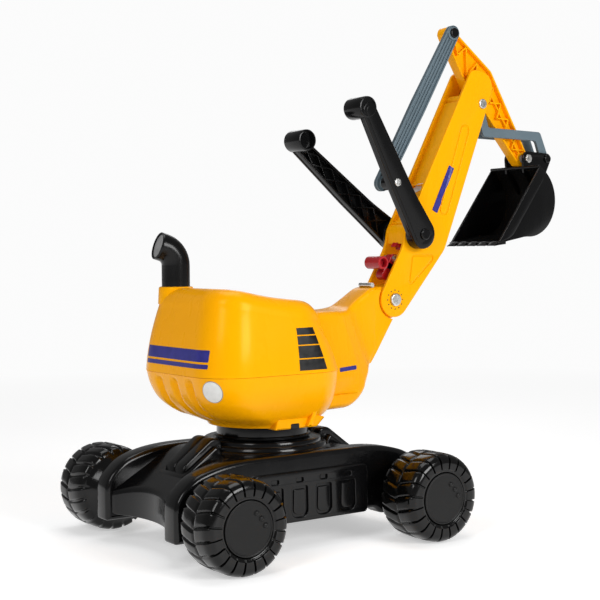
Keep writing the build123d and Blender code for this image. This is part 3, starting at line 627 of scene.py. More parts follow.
def plan(rear, front, half, corner):
    """Rounded plan outline, always sampled alike, starting at the rear on the left."""
    corner = min(corner, half - 0.5, (rear + front) / 2 - 0.5)
    points = []
    inner_rear, inner_front, inner_half = corner - rear, front - corner, half - corner
    stations = [
        ((-rear, inner_half), (-rear, -inner_half), END_STEPS, (inner_rear, -inner_half), math.pi),
        ((inner_rear, -half), (inner_front, -half), SIDE_STEPS, (inner_front, -inner_half), 1.5 * math.pi),
        ((front, -inner_half), (front, inner_half), END_STEPS, (inner_front, inner_half), 0),
        ((inner_front, half), (inner_rear, half), SIDE_STEPS, (inner_rear, inner_half), 0.5 * math.pi)]
    for start, finish, steps, centre, angle in stations:
        for i in range(steps):
            t = i / steps
            points.append((start[0] + (finish[0] - start[0]) * t, start[1] + (finish[1] - start[1]) * t))
        for i in range(CORNER_STEPS):
            turn = angle + math.pi / 2 * i / CORNER_STEPS
            points.append((centre[0] + corner * math.cos(turn), centre[1] + corner * math.sin(turn)))
    return points


# rows of (z, rear, front, half width, corner radius) for plan()
tub_keys = [
    (163.0, 78, 76, 77, 74), (167.0, 80, 76.5, 78, 72), (173.0, 92, 77, 82, 62), (181, 111, 77.5, 90, 55),
    (192, 126, 78, 98, 52), (204, 136.5, 78, 105, 52), (222, 144.5, 78, 111.5, 53), (240.6, 149, 78, 115, 55)]
GROOVES = (-42, 0, 42)


def tub_row(z):
    row = []
    depth = 8 * smooth_step(238.5 - z, 0, 13) * (1 - smooth_step(176 - z, 0, 10))
    for x, y in plan(*ease_keys(tub_keys, z)):
        if x < -60:
            drift = 1 - 0.1 * (240 - z) / 60
            for groove in GROOVES:
                off = abs(y - groove * drift)
                x += depth * (1 - smooth_step(off, 1.2, 10))
        row.append((x, y, z))
    return row


tub_rows = [[(x * 0.97, y * 0.97, 164.0) for x, y, z in tub_row(163.0)]]
tub_rows += [tub_row(163.2 + (240.4 - 163.2) * i / 44) for i in range(45)]
tub_rows.append([(x * 0.985, y * 0.985, 240.9) for x, y, z in tub_row(240.4)])
tub_rows.append([(x * 0.95, y * 0.95, 241.0) for x, y, z in tub_row(240.4)])
tub = grid(tub_rows, cap_start=True, cap_end=True)
tab_outline = rounded([(-34, 161.2, 2), (38, 161.2, 2), (52, 174, 3), (30, 180, 4), (-30, 176, 4)])
tab = [plate(tab_outline, -84, -60, 2), plate(tab_outline, 60, 84, 2)]
for side in (-1, 1):
    rib = rounded([(16, 164, 1), (24, 164, 1), (34, 188, 3), (29, 190, 2)])
    tab.append(plate(rib, min(side * 70, side * 92), max(side * 70, side * 92), 1.5))
tub_piece = piece("lower_tub", [tub] + tab, "superstructure", "yellow_plastic", ["body_lower_tub"])
# painted shade: black plates on both sides of the tab stand for the dark inside the drain holes, which are
# not cut
drain_shade_outline = rounded([(-8, 161.4, 1), (6, 161.4, 1), (6, 168.5, 2), (-8, 168.5, 2)])
painted_drain_shade = [plate(drain_shade_outline, -84.6, -80, 0.4), plate(drain_shade_outline, 80, 84.6, 0.4)]
piece("tub_drain_painted_shade", painted_drain_shade, "superstructure", "yellow_plastic", material=BLACK)

# the same for the walls of the seat shell, and the line of its top as (x, z)
shell_keys = [
    (SEAM, 150, 80, 116, 57), (262, 148, 73, 114.5, 56), (290, 143.5, 61, 110.5, 54),
    (318, 137, 46.5, 104.5, 51), (340, 131, 33, 98, 48), (362, 122, 18, 90, 44)]
seat_line = [
    (-150, 349), (-140, 354), (-128, 357.5), (-108, 359), (-88, 356.5), (-66, 352), (-40, 347),
    (-10, 343), (14, 340.5), (30, 337), (42, 331), (56, 321), (70, 309), (84, 296)]


def seat_height(x, y):
    z = ease_keys(seat_line, x)[0]
    dish = 5 * smooth_step(x, -70, -20) * (1 - smooth_step(x, 10, 55)) * (1 - smooth_step(abs(y), 20, 75))
    return z - dish


ROUND_TOP = 24
WALL_ROWS, ROUND_ROWS, TOP_ROWS = 26, 9, 26
columns = len(plan(*shell_keys[0][1:]))
shell_rows = [[] for _ in range(WALL_ROWS + ROUND_ROWS + TOP_ROWS)]
for column in range(columns):
    foot_x, foot_y = plan(*shell_keys[0][1:])[column]
    x, y = foot_x, foot_y
    wall_top = SEAM
    for _ in range(6):
        wall_top = max(SEAM + 8, seat_height(x, y) - ROUND_TOP)
        x, y = plan(*ease_keys(shell_keys, wall_top))[column]
    centre_x, centre_y = -42, 0
    reach = math.hypot(x - centre_x, y - centre_y)
    for row in range(WALL_ROWS):
        z = SEAM + (wall_top - SEAM) * row / WALL_ROWS
        px, py = plan(*ease_keys(shell_keys, z))[column]
        shell_rows[row].append((px, py, z))
    for row in range(ROUND_ROWS):
        turn = math.pi / 2 * row / ROUND_ROWS
        share = 1 - ROUND_TOP * (1 - math.cos(turn)) / reach
        px, py = centre_x + (x - centre_x) * share, centre_y + (y - centre_y) * share
        top_z = seat_height(px, py)
        shell_rows[WALL_ROWS + row].append((px, py, wall_top + (top_z - wall_top) * math.sin(turn)))
    edge_share = 1 - ROUND_TOP / reach
    for row in range(TOP_ROWS):
        share = edge_share * (1 - row / TOP_ROWS) + 0.004
        px, py = centre_x + (x - centre_x) * share, centre_y + (y - centre_y) * share
        shell_rows[WALL_ROWS + ROUND_ROWS + row].append((px, py, seat_height(px, py)))
inner_lip = [(x * 0.98, y * 0.98, SEAM + 0.2) for x, y, z in shell_rows[0]]
shell = grid([inner_lip] + shell_rows, cap_start=True, cap_end=True)
boss_profile = [
    (0, 336), (25.8, 336), (25.2, 348), (24.9, 353), (24.7, 357.6), (24.1, 359.8), (22.0, 360.6),
    (20.8, 359.4), (0, 359)]
boss = lathe(boss_profile, (EXHAUST[0], EXHAUST[1], 0))
body_shell = piece(
    "seat_shell", [shell, boss], "superstructure", "yellow_plastic", ["body_upper_shell"], sharp=50)

# nose and neck, widest at the body and folded in towards the boom


def map_points(solid, change):
    verts, faces = solid
    return [Vector(change(*(v / MM))) * MM for v in verts], faces


def cut_lines(solid, cuts):
    """Add edge loops where the planes (point, normal) cross, in millimetres."""
    verts, faces = solid
    mesh = bpy.data.meshes.new("cut")
    mesh.from_pydata(verts, [], faces)
    shape = bmesh.new()
    shape.from_mesh(mesh)
    bpy.data.meshes.remove(mesh)
    bmesh.ops.remove_doubles(shape, verts=shape.verts, dist=0.00001)
    for point, normal in cuts:
        bmesh.ops.bisect_plane(
            shape, geom=shape.verts[:] + shape.edges[:] + shape.faces[:], dist=0.00001,
            plane_co=Vector(point) * MM, plane_no=Vector(normal))
    shape.verts.index_update()
    result = [v.co.copy() for v in shape.verts], [tuple(v.index for v in f.verts) for f in shape.faces]
    shape.free()
    return result


NOSE_LEAN = 0.41


def nose_reach(x, z):
    """Distance along the nose, measured so that its fold lines lean back as they rise."""
    return x + NOSE_LEAN * (min(z, 330) - 230)


# half width of the nose and neck by reach
neck_widths = [
    (20, 66), (90, 60), (120, 55), (143, 49.5), (150, 46), (166, 39), (182, 27), (190, 25), (204, 23.4),
    (236, 23.2)]


def neck_width(x, z):
    reach = nose_reach(x, z)
    width = neck_widths[0][1]
    for (a, wa), (b, wb) in zip(neck_widths, neck_widths[1:]):
        if reach >= a:
            width = wa + (wb - wa) * min(1, (reach - a) / (b - a))
    if x > 192:
        width = min(width, 23.2 - 4.9 * smooth_step(x, 192, 202))
    return width


def nose_pocket(x, z):
    """Depth of the pocket low on the side of the nose, above its ledge."""
    if z < 200:
        return 0
    return 4.5 * smooth_step(224 - z, 0, 21) * (1 - smooth_step(x, 112, 130))


# side view of nose and neck: underside, front of the neck, boss at the boom's foot, then back along the top
neck_corners = [
    (20, 190, 0), (60, 178, 20), (121, 179, 14), (149, 196, 14), (164, 218, 14), (182, 238, 12),
    (196, 255, 10), (221, 293, 8), (229, 305, 6), (252, 312, 18), (257, 345, 20), (236, 360, 14),
    (214, 354, 10), (196, 354, 8), (184, 352, 8), (160, 337, 20), (134, 320, 20), (90, 322, 20),
    (20, 322, 0)]
neck_solid = plate(rounded(neck_corners, 8), -40, 40, 9, 5)
lean = Vector((1, 0, NOSE_LEAN)).normalized()
fold_reaches = (60, 90, 105, 120, 132, 143, 146.5, 150, 158, 166, 174, 182, 190, 204, 236)
ledge_levels = (190, 199.4, 201, 205, 210, 216, 224)
cuts = [((reach, 0, 230), lean) for reach in fold_reaches]
cuts += [((x, 0, 0), (1, 0, 0)) for x in (192, 195, 197, 199, 202, 210)]
cuts += [((0, 0, z), (0, 0, 1)) for z in (*ledge_levels, 240, 260, 280, 300, 320, 330)]
neck_solid = cut_lines(neck_solid, cuts)
neck_solid = map_points(neck_solid, lambda x, y, z: (x, y / 40 * (neck_width(x, z) - nose_pocket(x, z)), z))

# the flats of the neck stop at a step round the boom's foot
step_arc = arc((*FOOT, 30), math.radians(-96), math.radians(-114), 16)
shoulder = [(168, 330), (170, 246), (179, 238), (184, 239), (196, 255.5), (221, 294)]
shoulder += step_arc + [(197, 351), (184, 349)]
neck_parts = [neck_solid] + both_plates(shoulder, 15, 23.2, 1.2)
neck_piece = piece("nose_and_neck", neck_parts, "superstructure", "yellow_plastic", ["neck"], sharp=42)

# ---------------------------------------------------------------- exhaust

BEND_RADIUS, BEND_ANGLE, PIPE_RADIUS = 27, math.radians(72), 20.2
STRAIGHT_TOP, OUTLET_TURN = 391, math.radians(-10)


def pipe_ring(centre, tilt, radius):
    row = []
    for i in range(56):
        turn = 2 * math.pi * i / 56
        out_x = centre[0] + radius * math.cos(turn) * math.cos(tilt) - EXHAUST[0]
        out_y = radius * math.sin(turn)
        row.append((
            EXHAUST[0] + out_x * math.cos(OUTLET_TURN) - out_y * math.sin(OUTLET_TURN),
            EXHAUST[1] + out_x * math.sin(OUTLET_TURN) + out_y * math.cos(OUTLET_TURN),
            centre[1] + radius * math.cos(turn) * math.sin(tilt)))
    return row


path = [((EXHAUST[0], 359.6), 0), ((EXHAUST[0], 372), 0), ((EXHAUST[0], STRAIGHT_TOP), 0)]
for i in range(1, 13):
    tilt = BEND_ANGLE * i / 12
    bend_x = EXHAUST[0] - BEND_RADIUS + BEND_RADIUS * math.cos(tilt)
    path.append(((bend_x, STRAIGHT_TOP + BEND_RADIUS * math.sin(tilt)), tilt))
last, tilt = path[-1]
out = (-math.sin(tilt), math.cos(tilt))
path.append(((last[0] + out[0] * 5, last[1] + out[1] * 5), tilt))
path.append(((last[0] + out[0] * 8.2, last[1] + out[1] * 8.2), tilt))
pipe_rows = [pipe_ring(centre, tilt, PIPE_RADIUS) for centre, tilt in path]
mouth = path[-1][0]
for step, radius in ((0.7, 19.8), (0.9, 18.9), (0.6, 18.1), (-3.4, 17.8), (-3.6, 0.02)):
    centre = (mouth[0] + out[0] * step, mouth[1] + out[1] * step)
    pipe_rows.append(pipe_ring(centre, tilt, radius))
elbow = grid(pipe_rows, cap_start=True)
piece("exhaust_elbow", [elbow], "superstructure", "black_lever_plastic", ["exhaust_pipe"])
cap_rows = []
for step, radius in ((-3.2, 17.5), (-1.6, 17.5), (-1.1, 17), (-0.9, 15.8), (-1.0, 9), (-1.0, 0.02)):
    centre = (mouth[0] + out[0] * step, mouth[1] + out[1] * step)
    cap_rows.append(pipe_ring(centre, tilt, radius))
piece("exhaust_cap", [grid(cap_rows, cap_start=True)], "superstructure", "grey_plastic", ["exhaust_end_disc"],
      material=GREY_FILM)

# ---------------------------------------------------------------- boom

foot_disc, knee_disc, top_disc = (*FOOT, 27), (*KNEE, 39.5), (*BOOM_TOP, 24.5)


def between(a, b, share):
    return tuple(a[k] + (b[k] - a[k]) * share for k in range(3))


hub_disc = (*LEVER_HUB, 21)
boom_loop = loop([foot_disc, knee_disc, top_disc, (402, 681, 16), hub_disc, (262, 412, 14)], 16)


def panel(circles, groove=2.6):
    """Groove loop and the island inside it."""
    return [loop(circles, 4), loop(shrink(circles, groove), 3)]


long_panel = panel([(332, 474, 9.5), (377, 600, 9.5)])
knee_panel = panel([(264, 362, 5), (303, 397, 6), (270, 398, 5)])
cheek_outlines = [boom_loop] + long_panel + knee_panel
boom_solids = both_plates(cheek_outlines, 21.4, BOOM_HALF, 1.0)
boom_solids += both_plates(boom_loop, 19, 22.6, 1.0)
boom_solids += both_plates(ring(LEVER_HUB, 19, 48), 23, 25.4, 0.8)


def chain_side(circles):
    """Open outline that runs on the right of a chain of discs."""
    points = []
    previous = None
    for a, b in zip(circles, circles[1:]):
        angle = tangent_angle(a, b)
        if previous is not None:
            turn = wrap_angle(angle - previous)
            if turn > 0:
                points += arc(a, previous, turn, 8)[:-1]
            else:
                points.pop()
        points += [on_circle(a, angle), on_circle(b, angle)]
        previous = angle
    return points


knee_inner, top_inner = (*KNEE, 38.5), (*BOOM_TOP, 23.5)
front_line = chain_side([(*FOOT, 26), knee_inner, between(knee_inner, top_inner, 0.62)])
back_line = chain_side([between(top_inner, knee_inner, 0.16), knee_inner, (*LEVER_HUB, 20), (268, 420, 15)])
boom_solids.append(ribbon(front_line[1:], 4, -20, 20))
boom_solids.append(ribbon(back_line, 4, -20, 20))
boom_solids.append(ribbon([(372, 644), (379, 640), (391, 640), (398, 634)], 3, -20, 20))
barrel = lathe([(0, -20), (7.5, -20), (7.5, 20), (0, 20)], (384, 0, 650), "Y", 32)
boom_solids.append(barrel)
for start, finish in (((262, 452), (330, 430)), ((297, 512), (366, 512))):
    boom_solids.append(plate(belt([(*start, 1.5), (*finish, 1.5)]), -20, 20, 0.5))
boom_piece = piece("boom_moulding", boom_solids, "boom", "yellow_plastic", ["boom"], sharp=42)
mark_solids = []
for index in range(12):
    turn = 2 * math.pi * index / 12
    mark = (FOOT[0] + 14.6 * math.cos(turn), FOOT[1] + 14.6 * math.sin(turn))
    mark_solids += both_plates(ring(mark, 1.1, 12), BOOM_HALF - 1, BOOM_HALF + 0.25, 0.2)
piece("foot_marks", mark_solids, "boom", "yellow_plastic", material=BLACK_FILM)

# ---------------------------------------------------------------- levers

LEVER_LENGTH, LEVER_SPLAY, LEVER_OUTER = 223, 4.6, 45
arm_chain = [(0, 0, 22.5), (-2, 60, 18.5), (-2, 100, 17.6), (0, LEVER_LENGTH - 6, 13)]


def lever_solids(back_tilt, side):
    """Lever drawn upright with its hub at zero and its outer side towards -Y, then put in place."""
    outer = -LEVER_OUTER
    skin = plate(belt(arm_chain, 12), outer, outer + 4.5, 1.6)
    rim = [belt(shrink(arm_chain, inset), 12) for inset in (1.2, 4.6)]
    lip = plate(rim, outer + 3, outer + 14.6, 0.7)
    island = plate(belt(shrink(arm_chain, 5.2), 12), outer - 0.9, outer + 2, 0.8)
    arm = [skin, lip, island]
    for index in range(6):
        low = 22 + index * 32
        width = 13 - index * 1.1
        middle = -2 + max(0, index - 2) * 0.6
        for reach in (-width, width):
            rib = belt([(middle + reach, low, 1.1), (middle - reach, low + 30, 1.1)])
            arm.append(plate(rib, outer + 3, outer + 12, 0.4))
    splay = (
        Matrix.Translation(Vector((0, outer, 0)) * MM)
        @ Matrix.Rotation(math.radians(LEVER_SPLAY), 4, "X")
        @ Matrix.Translation(Vector((0, -outer, 0)) * MM))
    solids = [moved(solid, splay) for solid in arm]
    hub = [
        (0, outer - 0.2), (15, outer - 0.2), (19.5, outer), (21.8, outer + 1.6), (22.5, outer + 4.5),
        (22.5, -27), (21.5, -26), (0, -26)]
    solids.append(lathe(hub, (0, 0, 0), "Y", 64))
    grip_y = outer - LEVER_LENGTH * math.sin(math.radians(LEVER_SPLAY))
    grip = [
        (0, 1.4), (12.2, 1.2), (12.6, 0.2), (14.2, 0), (15.8, 0.9), (16.4, 2.8), (16.4, 37.6),
        (15.9, 39.8), (14.4, 40.6), (13.2, 40.6), (12.7, 39.8), (12.5, 32), (0, 31.6)]
    solids.append(lathe([(r, grip_y + h) for r, h in grip], (0, 0, LEVER_LENGTH), "Y", 56))
    place = Matrix.Translation(Vector((LEVER_HUB[0], 0, LEVER_HUB[1])) * MM)
    place = place @ Matrix.Rotation(math.radians(-back_tilt), 4, "Y")
    if side > 0:
        place = place @ Matrix.Diagonal((1, -1, 1, 1))
    return [moved(solid, place) for solid in solids]


rod_boss = [(0, -44), (10, -44), (11, -43), (11, -27), (0, -27)]
right_boss = lathe(rod_boss, (ROD_LOW[0], 0, ROD_LOW[1]), "Y", 40)
right_solids = lever_solids(33.2, -1) + [right_boss]
piece("right_lever_moulding", right_solids, "right_lever", "black_lever_plastic", ["lever_right"])
piece("left_lever_moulding", lever_solids(50.3, 1), "boom", "black_lever_plastic", ["lever_left"])

# ---------------------------------------------------------------- push rod

rod_length = math.dist(ROD_LOW, ROD_HIGH)
rod_turn = math.atan2(ROD_HIGH[1] - ROD_LOW[1], ROD_HIGH[0] - ROD_LOW[0])


def on_rod(along, across):
    return (
        ROD_LOW[0] + along * math.cos(rod_turn) - across * math.sin(rod_turn),
        ROD_LOW[1] + along * math.sin(rod_turn) + across * math.cos(rod_turn))


def rod_strip(a, b, across, half):
    corners = ((a, -half), (b, -half), (b, half), (a, half))
    return rounded([(*on_rod(along, across + off), 1) for along, off in corners], 3)


rod_outline = belt([(*ROD_LOW, 12), (*on_rod(rod_length * 0.5, 0), 14), (*ROD_HIGH, 12)])
rod_rim = belt([(*ROD_LOW, 9.4), (*on_rod(rod_length * 0.5, 0), 11.4), (*ROD_HIGH, 9.4)])
rod_solids = [plate([rod_outline, ring(ROD_LOW, 4.1), ring(ROD_HIGH, 4.7)], -16.6, -13.4, 0.5)]
rod_solids.append(plate([rod_outline, rod_rim], -19, -11, 0.7))
for across in (-5.4, 0, 5.4):
    rod_solids.append(plate(rod_strip(12, rod_length - 12, across, 1.2), -18.7, -11.3, 0.5))
for along in range(30, int(rod_length) - 24, 26):
    rod_solids.append(plate(rod_strip(along, along + 1.6, 0, 10.5), -17.8, -12.2, 0.3))
for centre in (ROD_LOW, ROD_HIGH):
    rod_solids.append(plate([ring(centre, 11.4), ring(centre, 4.7)], -19, -11, 0.7))
piece("push_rod_moulding", rod_solids, "push_rod", "grey_plastic", ["push_rod"])

# ---------------------------------------------------------------- dipper

dipper_discs = [(*ROD_HIGH, 11), (*DIPPER_PIVOT, 15), (430, 660, 14), (*BUCKET_HINGE, 13.3), (438, 690, 15)]
dipper_outer = loop(dipper_discs, 8)
dipper_inner = loop(shrink(dipper_discs, 3.4), 6)
dipper_solids = [
    plate([dipper_outer, dipper_inner], -9, 9, 1.1),
    plate(loop(shrink(dipper_discs, 1.5), 8), -1.5, 1.5, 0.4)]
corner, hinge = (436, 684), BUCKET_HINGE
brace_points = []
for index in range(10):
    share = (index + 0.3) / 10
    swing = 10.5 if index % 2 else -10.5
    brace_points.append((
        corner[0] + (hinge[0] - corner[0]) * share + 0.84 * swing,
        corner[1] + (hinge[1] - corner[1]) * share + 0.55 * swing))
crank_points = [(368, 752), (378, 722), (396, 735), (398, 690), (420, 712), (416, 672), (444, 692)]
for points in (brace_points, crank_points):
    for a, b in zip(points, points[1:]):
        dipper_solids.append(plate(belt([(*a, 1.2), (*b, 1.2)]), -8, 8, 0.5))
middle_line = [(*corner, 1.3), (*hinge, 1.3)]
dipper_solids.append(plate(belt(middle_line), -7, 7, 0.5))
for centre, radius in ((ROD_HIGH, 10), (DIPPER_PIVOT, 12), (BUCKET_HINGE, 11)):
    dipper_solids.append(plate([ring(centre, radius), ring(centre, 5.1)], -9, 9, 0.9))
piece("dipper_moulding", dipper_solids, "dipper", "yellow_plastic", ["dipper"])

# ---------------------------------------------------------------- links

link_chain = [(*LINK_PIVOT, 9), (430, 600, 7.6), (549, 598, 7.6), (*LINK_END, 9)]
for side_name, low, high in (("right", -17, -10.5), ("left", 10.5, 17)):
    outline = belt(link_chain, 5)
    bar_solid = plate([outline, ring(LINK_PIVOT, 4.1), ring(LINK_END, 5.9)], low, high, 1.2)
    piece("link_%s_bar" % side_name, [bar_solid], "bucket_links", "grey_plastic", ["link_" + side_name])

# ---------------------------------------------------------------- bucket

BUCKET_CENTRE, BUCKET_RADIUS, BUCKET_HALF = (487, 490), 60, 58
bucket_arc = arc((*BUCKET_CENTRE, BUCKET_RADIUS), math.radians(-97), math.radians(163), 26)
slope = math.radians(10.2)
floor_end = bucket_arc[0]
lip = (floor_end[0] - 64 * math.cos(slope), floor_end[1] - 64 * math.sin(slope))
bucket_line = [lip, (lip[0] + 30, lip[1] + 5.4)] + bucket_arc
bucket_solids = [ribbon(bucket_line, 3, -BUCKET_HALF + 1, BUCKET_HALF - 1)]
side_outline = rounded([(x, z, 2) for x, z in [lip] + bucket_arc], 2)
top_point = bucket_arc[-1]
bucket_solids += both_plates(side_outline, BUCKET_HALF - 3.2, BUCKET_HALF - 0.9, 0.9)
mouth_dir = Vector((top_point[0] - lip[0], top_point[1] - lip[1])).normalized()
inward = Vector((mouth_dir.y, -mouth_dir.x))


def mouth_point(along, depth):
    base = Vector(lip) + mouth_dir * along + inward * depth
    return (base.x, base.y)


mouth_length = math.dist(lip, top_point)
band = rounded([(*mouth_point(2, 0), 2), (*mouth_point(28, 19), 10), (*mouth_point(mouth_length - 8, 19), 6),
                (*mouth_point(mouth_length - 1, 0.4), 2)])
bucket_solids += both_plates(band, BUCKET_HALF - 2, BUCKET_HALF, 0.9)
for index in range(5):
    y = (index - 2) * 24
    tooth = rounded([(408.4, 415.4, 1), (436, 418, 0), (436, 425, 0), (418, 423, 2)])
    bucket_solids.append(plate(tooth, y - 8, y + 8, 1.2))
bucket_solids.append(plate(ring(top_point, 2.6, 20), -BUCKET_HALF + 1, BUCKET_HALF - 1, 1))
lug = loop([(*LINK_END, 9), (*BUCKET_HINGE, 12), (514, 538, 4), (543, 503, 2)], 6)
bucket_solids += both_plates([lug, ring(BUCKET_HINGE, 4.1), ring(LINK_END, 4.1)], 18, 22, 0.9)
for y in (-38, 38, 0):
    rib_arc = arc((*BUCKET_CENTRE, BUCKET_RADIUS + 1.0), math.radians(-80), math.radians(120), 20)
    bucket_solids.append(ribbon(rib_arc, 2.6, y - 1.6, y + 1.6))
piece("bucket_moulding", bucket_solids, "bucket", "black_plastic", ["bucket"])

# ---------------------------------------------------------------- lock lever

lock_solids = [
    plate(belt([(*LOCK_PIVOT, 8), (227, 372, 8)]), -8, 8, 1.2),
    plate(belt([(236, 385, 6), (216, 391, 6)]), -8, 8, 1.2),
    plate(belt([(*LOCK_PIVOT, 8), (252, 412, 5)]), -6, 6, 1.2)]
cross_tube = [
    (0, -9), (6.5, -9), (6.5, -17.2), (7.1, -18), (9, -18), (10, -17), (10, 17), (9, 18), (7.1, 18),
    (6.5, 17.2), (6.5, 9), (0, 9)]
lock_solids.append(lathe(cross_tube, (214, 0, 391), "Y", 48))
piece("lock_handle", lock_solids, "lock_lever", "red_plastic", ["lock_lever"])

# ---------------------------------------------------------------- stickers


def sticker(name, outline, target, body, material, slot, azimuth=-90, origin=(0, 0), lift=0.4, step=3):
    """Thin film pressed onto target from outside.

    The outline is (across, z), with across measured to the right of origin as seen from azimuth.
    """
    turn = math.radians(azimuth)
    outward = Vector((math.cos(turn), math.sin(turn), 0))
    across = Vector((-math.sin(turn), math.cos(turn), 0))
    tree = BVHTree.FromObject(target, bpy.context.evaluated_depsgraph_get())
    mesh = bmesh.new()
    mesh.faces.new([mesh.verts.new((u * MM, 0, z * MM)) for u, z in outline])
    for axis in (0, 2):
        values = [point[axis // 2] for point in outline]
        at = min(values) + step
        while at < max(values):
            point, normal = [0, 0, 0], [0, 0, 0]
            point[axis], normal[axis] = at * MM, 1
            bmesh.ops.bisect_plane(
                mesh, geom=mesh.verts[:] + mesh.edges[:] + mesh.faces[:], dist=1e-6,
                plane_co=point, plane_no=normal)
            at += step
    mesh.verts.index_update()
    flat = [v.co.copy() for v in mesh.verts]
    faces = [tuple(v.index for v in f.verts) for f in mesh.faces]
    mesh.free()
    top, bottom = [], []
    for v in flat:
        base = world(origin[0], origin[1], 0) + across * v.x + Vector((0, 0, v.z))
        hit, normal = tree.ray_cast(base + outward * 0.3, -outward)[:2]
        if hit is None:
            raise RuntimeError(name + " misses its target")
        if normal.dot(outward) < 0:
            normal = -normal
        local = hit - world(0, 0, 0)
        top.append(local + normal * lift * MM)
        bottom.append(local - normal * 0.2 * MM)
    return piece(name, [skin(top, bottom, faces)], body, slot, material=material, sharp=60)


def skin(top, bottom, faces):
    """Close a sheet with its underside and rim."""
    count = len(top)
    edges = {}
    for face in faces:
        for a, b in zip(face, face[1:] + face[:1]):
            edges[(a, b)] = edges.get((a, b), 0) + 1
    result = list(faces) + [tuple(i + count for i in face[::-1]) for face in faces]
    for a, b in edges:
        if (b, a) not in edges:
            result.append((b, a, a + count, b + count))
    return top + bottom, result


def stripe(start, finish, half, soft=1.5):
    """Straight bar with rounded corners between two points in (across, z)."""
    along = Vector((finish[0] - start[0], finish[1] - start[1])).normalized() * half
    corners = [
        (start[0] + along.y, start[1] - along.x), (finish[0] + along.y, finish[1] - along.x),
        (finish[0] - along.y, finish[1] + along.x), (start[0] - along.y, start[1] + along.x)]
    return rounded([(*corner, soft) for corner in corners], 3)


def for_side(outline, azimuth):
    """Outline drawn for the right side, turned over for the left."""
    return outline if azimuth < 0 else [(-u, z) for u, z in outline]


SIDES = (("right", -90), ("left", 90))
ON_BODY = ("superstructure", BLUE_FILM, "yellow_plastic")


for index, (high, low) in enumerate([(304, 294.5), (292.8, 281), (279.3, 262.5), (260.8, 245.5)]):
    slant = [14.5 + (304 - z) * 0.32 for z in (low, high)]
    outline = [(-14, low), (slant[0], low), (slant[1], high), (-14.3, high)]
    for side_name, azimuth in SIDES:
        sticker("side_stripe_%s_%d" % (side_name, index), for_side(outline, azimuth), body_shell,
                "superstructure", BLACK_FILM, "yellow_plastic", azimuth)
for index, (z, half) in enumerate(((270, 8), (256, 3))):
    sticker("rear_stripe_%d" % index, stripe((-74, z), (84, z), half), body_shell, *ON_BODY, 180)
boom_bar = stripe((312, 470), (348, 541), 5.5)
nose_bar = stripe((98, 236), (134, 237.5), 3)
for side_name, azimuth in SIDES:
    sticker("boom_stripe_" + side_name, for_side(boom_bar, azimuth), boom_piece, "boom", BLUE_FILM,
            "yellow_plastic", azimuth, lift=0.9, step=1.2)
    sticker("nose_stripe_" + side_name, for_side(nose_bar, azimuth), neck_piece, *ON_BODY, azimuth)
boom_tab = stripe((-12, 502), (13, 511), 5)
sticker("boom_tab", boom_tab, boom_piece, "boom", WHITE_FILM, "grey_plastic", 180, lift=0.8)
DISC_PLACE, DISC_AZIMUTH, DISC_Z = (-138, -86), -147.5, 222
for name, radius, film, lift in (("round_rim", 15.2, GREY_FILM, 0.3), ("round_disc", 14.2, WHITE_FILM, 0.55)):
    sticker(name, ring((0, DISC_Z), radius, 40), tub_piece, "superstructure", film, "yellow_plastic",
            DISC_AZIMUTH, DISC_PLACE, lift)

# ---------------------------------------------------------------- stage, light and camera


FLOOR_HALF, FADE_START, FADE_END = 9.0, 0.7, 2.6
BACKDROP_GLOW = 0.97


def stage_floor():
    """Pale floor that fades into the backdrop away from the object."""
    corners = [(-FLOOR_HALF, -FLOOR_HALF, 0), (FLOOR_HALF, -FLOOR_HALF, 0), (FLOOR_HALF, FLOOR_HALF, 0),
               (-FLOOR_HALF, FLOOR_HALF, 0)]
    mesh = bpy.data.meshes.new("floor")
    mesh.from_pydata(corners, [], [(0, 1, 2, 3)])
    floor = show("floor", mesh)
    surface = Surface("pale_floor")
    surface.fix("Base Color", (0.86, 0.86, 0.86, 1))
    surface.fix("Roughness", 0.55)
    surface.fix("Specular IOR Level", 0.25)
    surface.fix("Emission Color", (1, 1, 1, 1))
    surface.fix("Emission Strength", 0.46)
    length = surface.nodes.new("ShaderNodeVectorMath")
    length.operation = "LENGTH"
    surface.links.new(surface.coords, length.inputs[0])
    glow = surface.nodes.new("ShaderNodeEmission")
    glow.inputs["Color"].default_value = (1, 1, 1, 1)
    glow.inputs["Strength"].default_value = BACKDROP_GLOW
    mix = surface.nodes.new("ShaderNodeMixShader")
    fade = surface.to_range(length.outputs["Value"], FADE_START, FADE_END, 0, 1)
    surface.links.new(fade, mix.inputs["Fac"])
    surface.links.new(surface.shader.outputs["BSDF"], mix.inputs[1])
    surface.links.new(glow.outputs["Emission"], mix.inputs[2])
    surface.links.new(mix.outputs["Shader"], surface.nodes["Material Output"].inputs["Surface"])
    mesh.materials.append(surface.material)


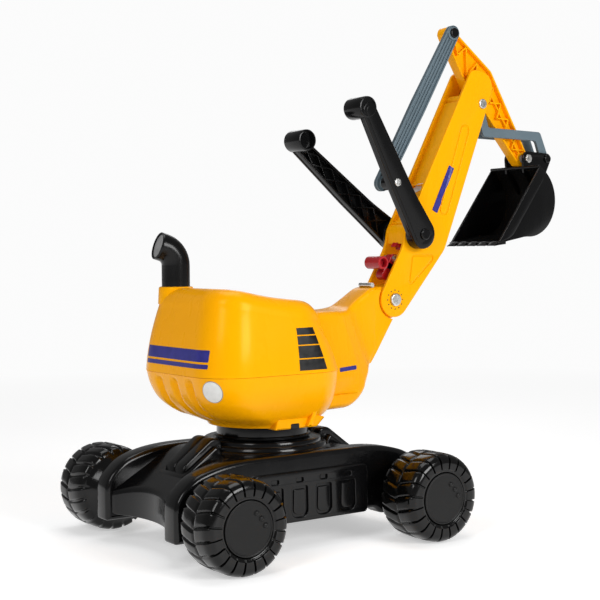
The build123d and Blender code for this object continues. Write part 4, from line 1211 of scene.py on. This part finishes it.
def softbox(name, place, target, size, power):
    light = bpy.data.lights.new(name, "AREA")
    light.shape = "RECTANGLE"
    light.size, light.size_y = size
    light.energy = power
    lamp = show(name, light)
    lamp.location = place
    lamp.rotation_euler = (Vector(target) - Vector(place)).to_track_quat("-Z", "Y").to_euler()


stage_floor()
softbox("key_light", (-2.4, -1.2, 1.9), (-0.1, 0, 0.3), (0.8, 1.3), 22)
softbox("fill_light", (0.5, -2.9, 1.3), (0, 0, 0.35), (1.3, 1.1), 54)
softbox("top_light", (0.1, 0.3, 2.8), (0, 0, 0.2), (1.6, 1.6), 22)
softbox("back_light", (1.4, 2.2, 1.7), (0, 0, 0.4), (1.0, 1.0), 5)

backdrop = bpy.data.worlds.new("studio")
backdrop.use_nodes = True
world_nodes, world_links = backdrop.node_tree.nodes, backdrop.node_tree.links
light_path = world_nodes.new("ShaderNodeLightPath")
seen = world_nodes["Background"]
seen.inputs["Color"].default_value = (1, 1, 1, 1)
seen.inputs["Strength"].default_value = BACKDROP_GLOW
lit = world_nodes.new("ShaderNodeBackground")
lit.inputs["Color"].default_value = (1, 1, 1, 1)
lit.inputs["Strength"].default_value = 0.23
choose = world_nodes.new("ShaderNodeMixShader")
world_links.new(light_path.outputs["Is Camera Ray"], choose.inputs["Fac"])
world_links.new(lit.outputs["Background"], choose.inputs[1])
world_links.new(seen.outputs["Background"], choose.inputs[2])
world_links.new(choose.outputs["Shader"], world_nodes["World Output"].inputs["Surface"])
bpy.context.scene.world = backdrop
bpy.context.scene.view_settings.view_transform = "Standard"

CAMERA_PLACE = world(-1043.5, -1568.2, 410.2)
look = Vector((0.57819, 0.81503, -0.03778)).normalized()
right = Vector((0.81539, -0.57885, -0.00869)).normalized()
up = right.cross(look).normalized()
camera_data = bpy.data.cameras.new("photo_camera")
camera_data.sensor_width = 36
camera_data.lens = 78.03
camera_data.clip_start = 0.05
camera = show("photo_camera", camera_data)
axes = Matrix((right, up, -look)).transposed()
camera.matrix_world = Matrix.Translation(CAMERA_PLACE) @ axes.to_4x4()
bpy.context.scene.camera = camera
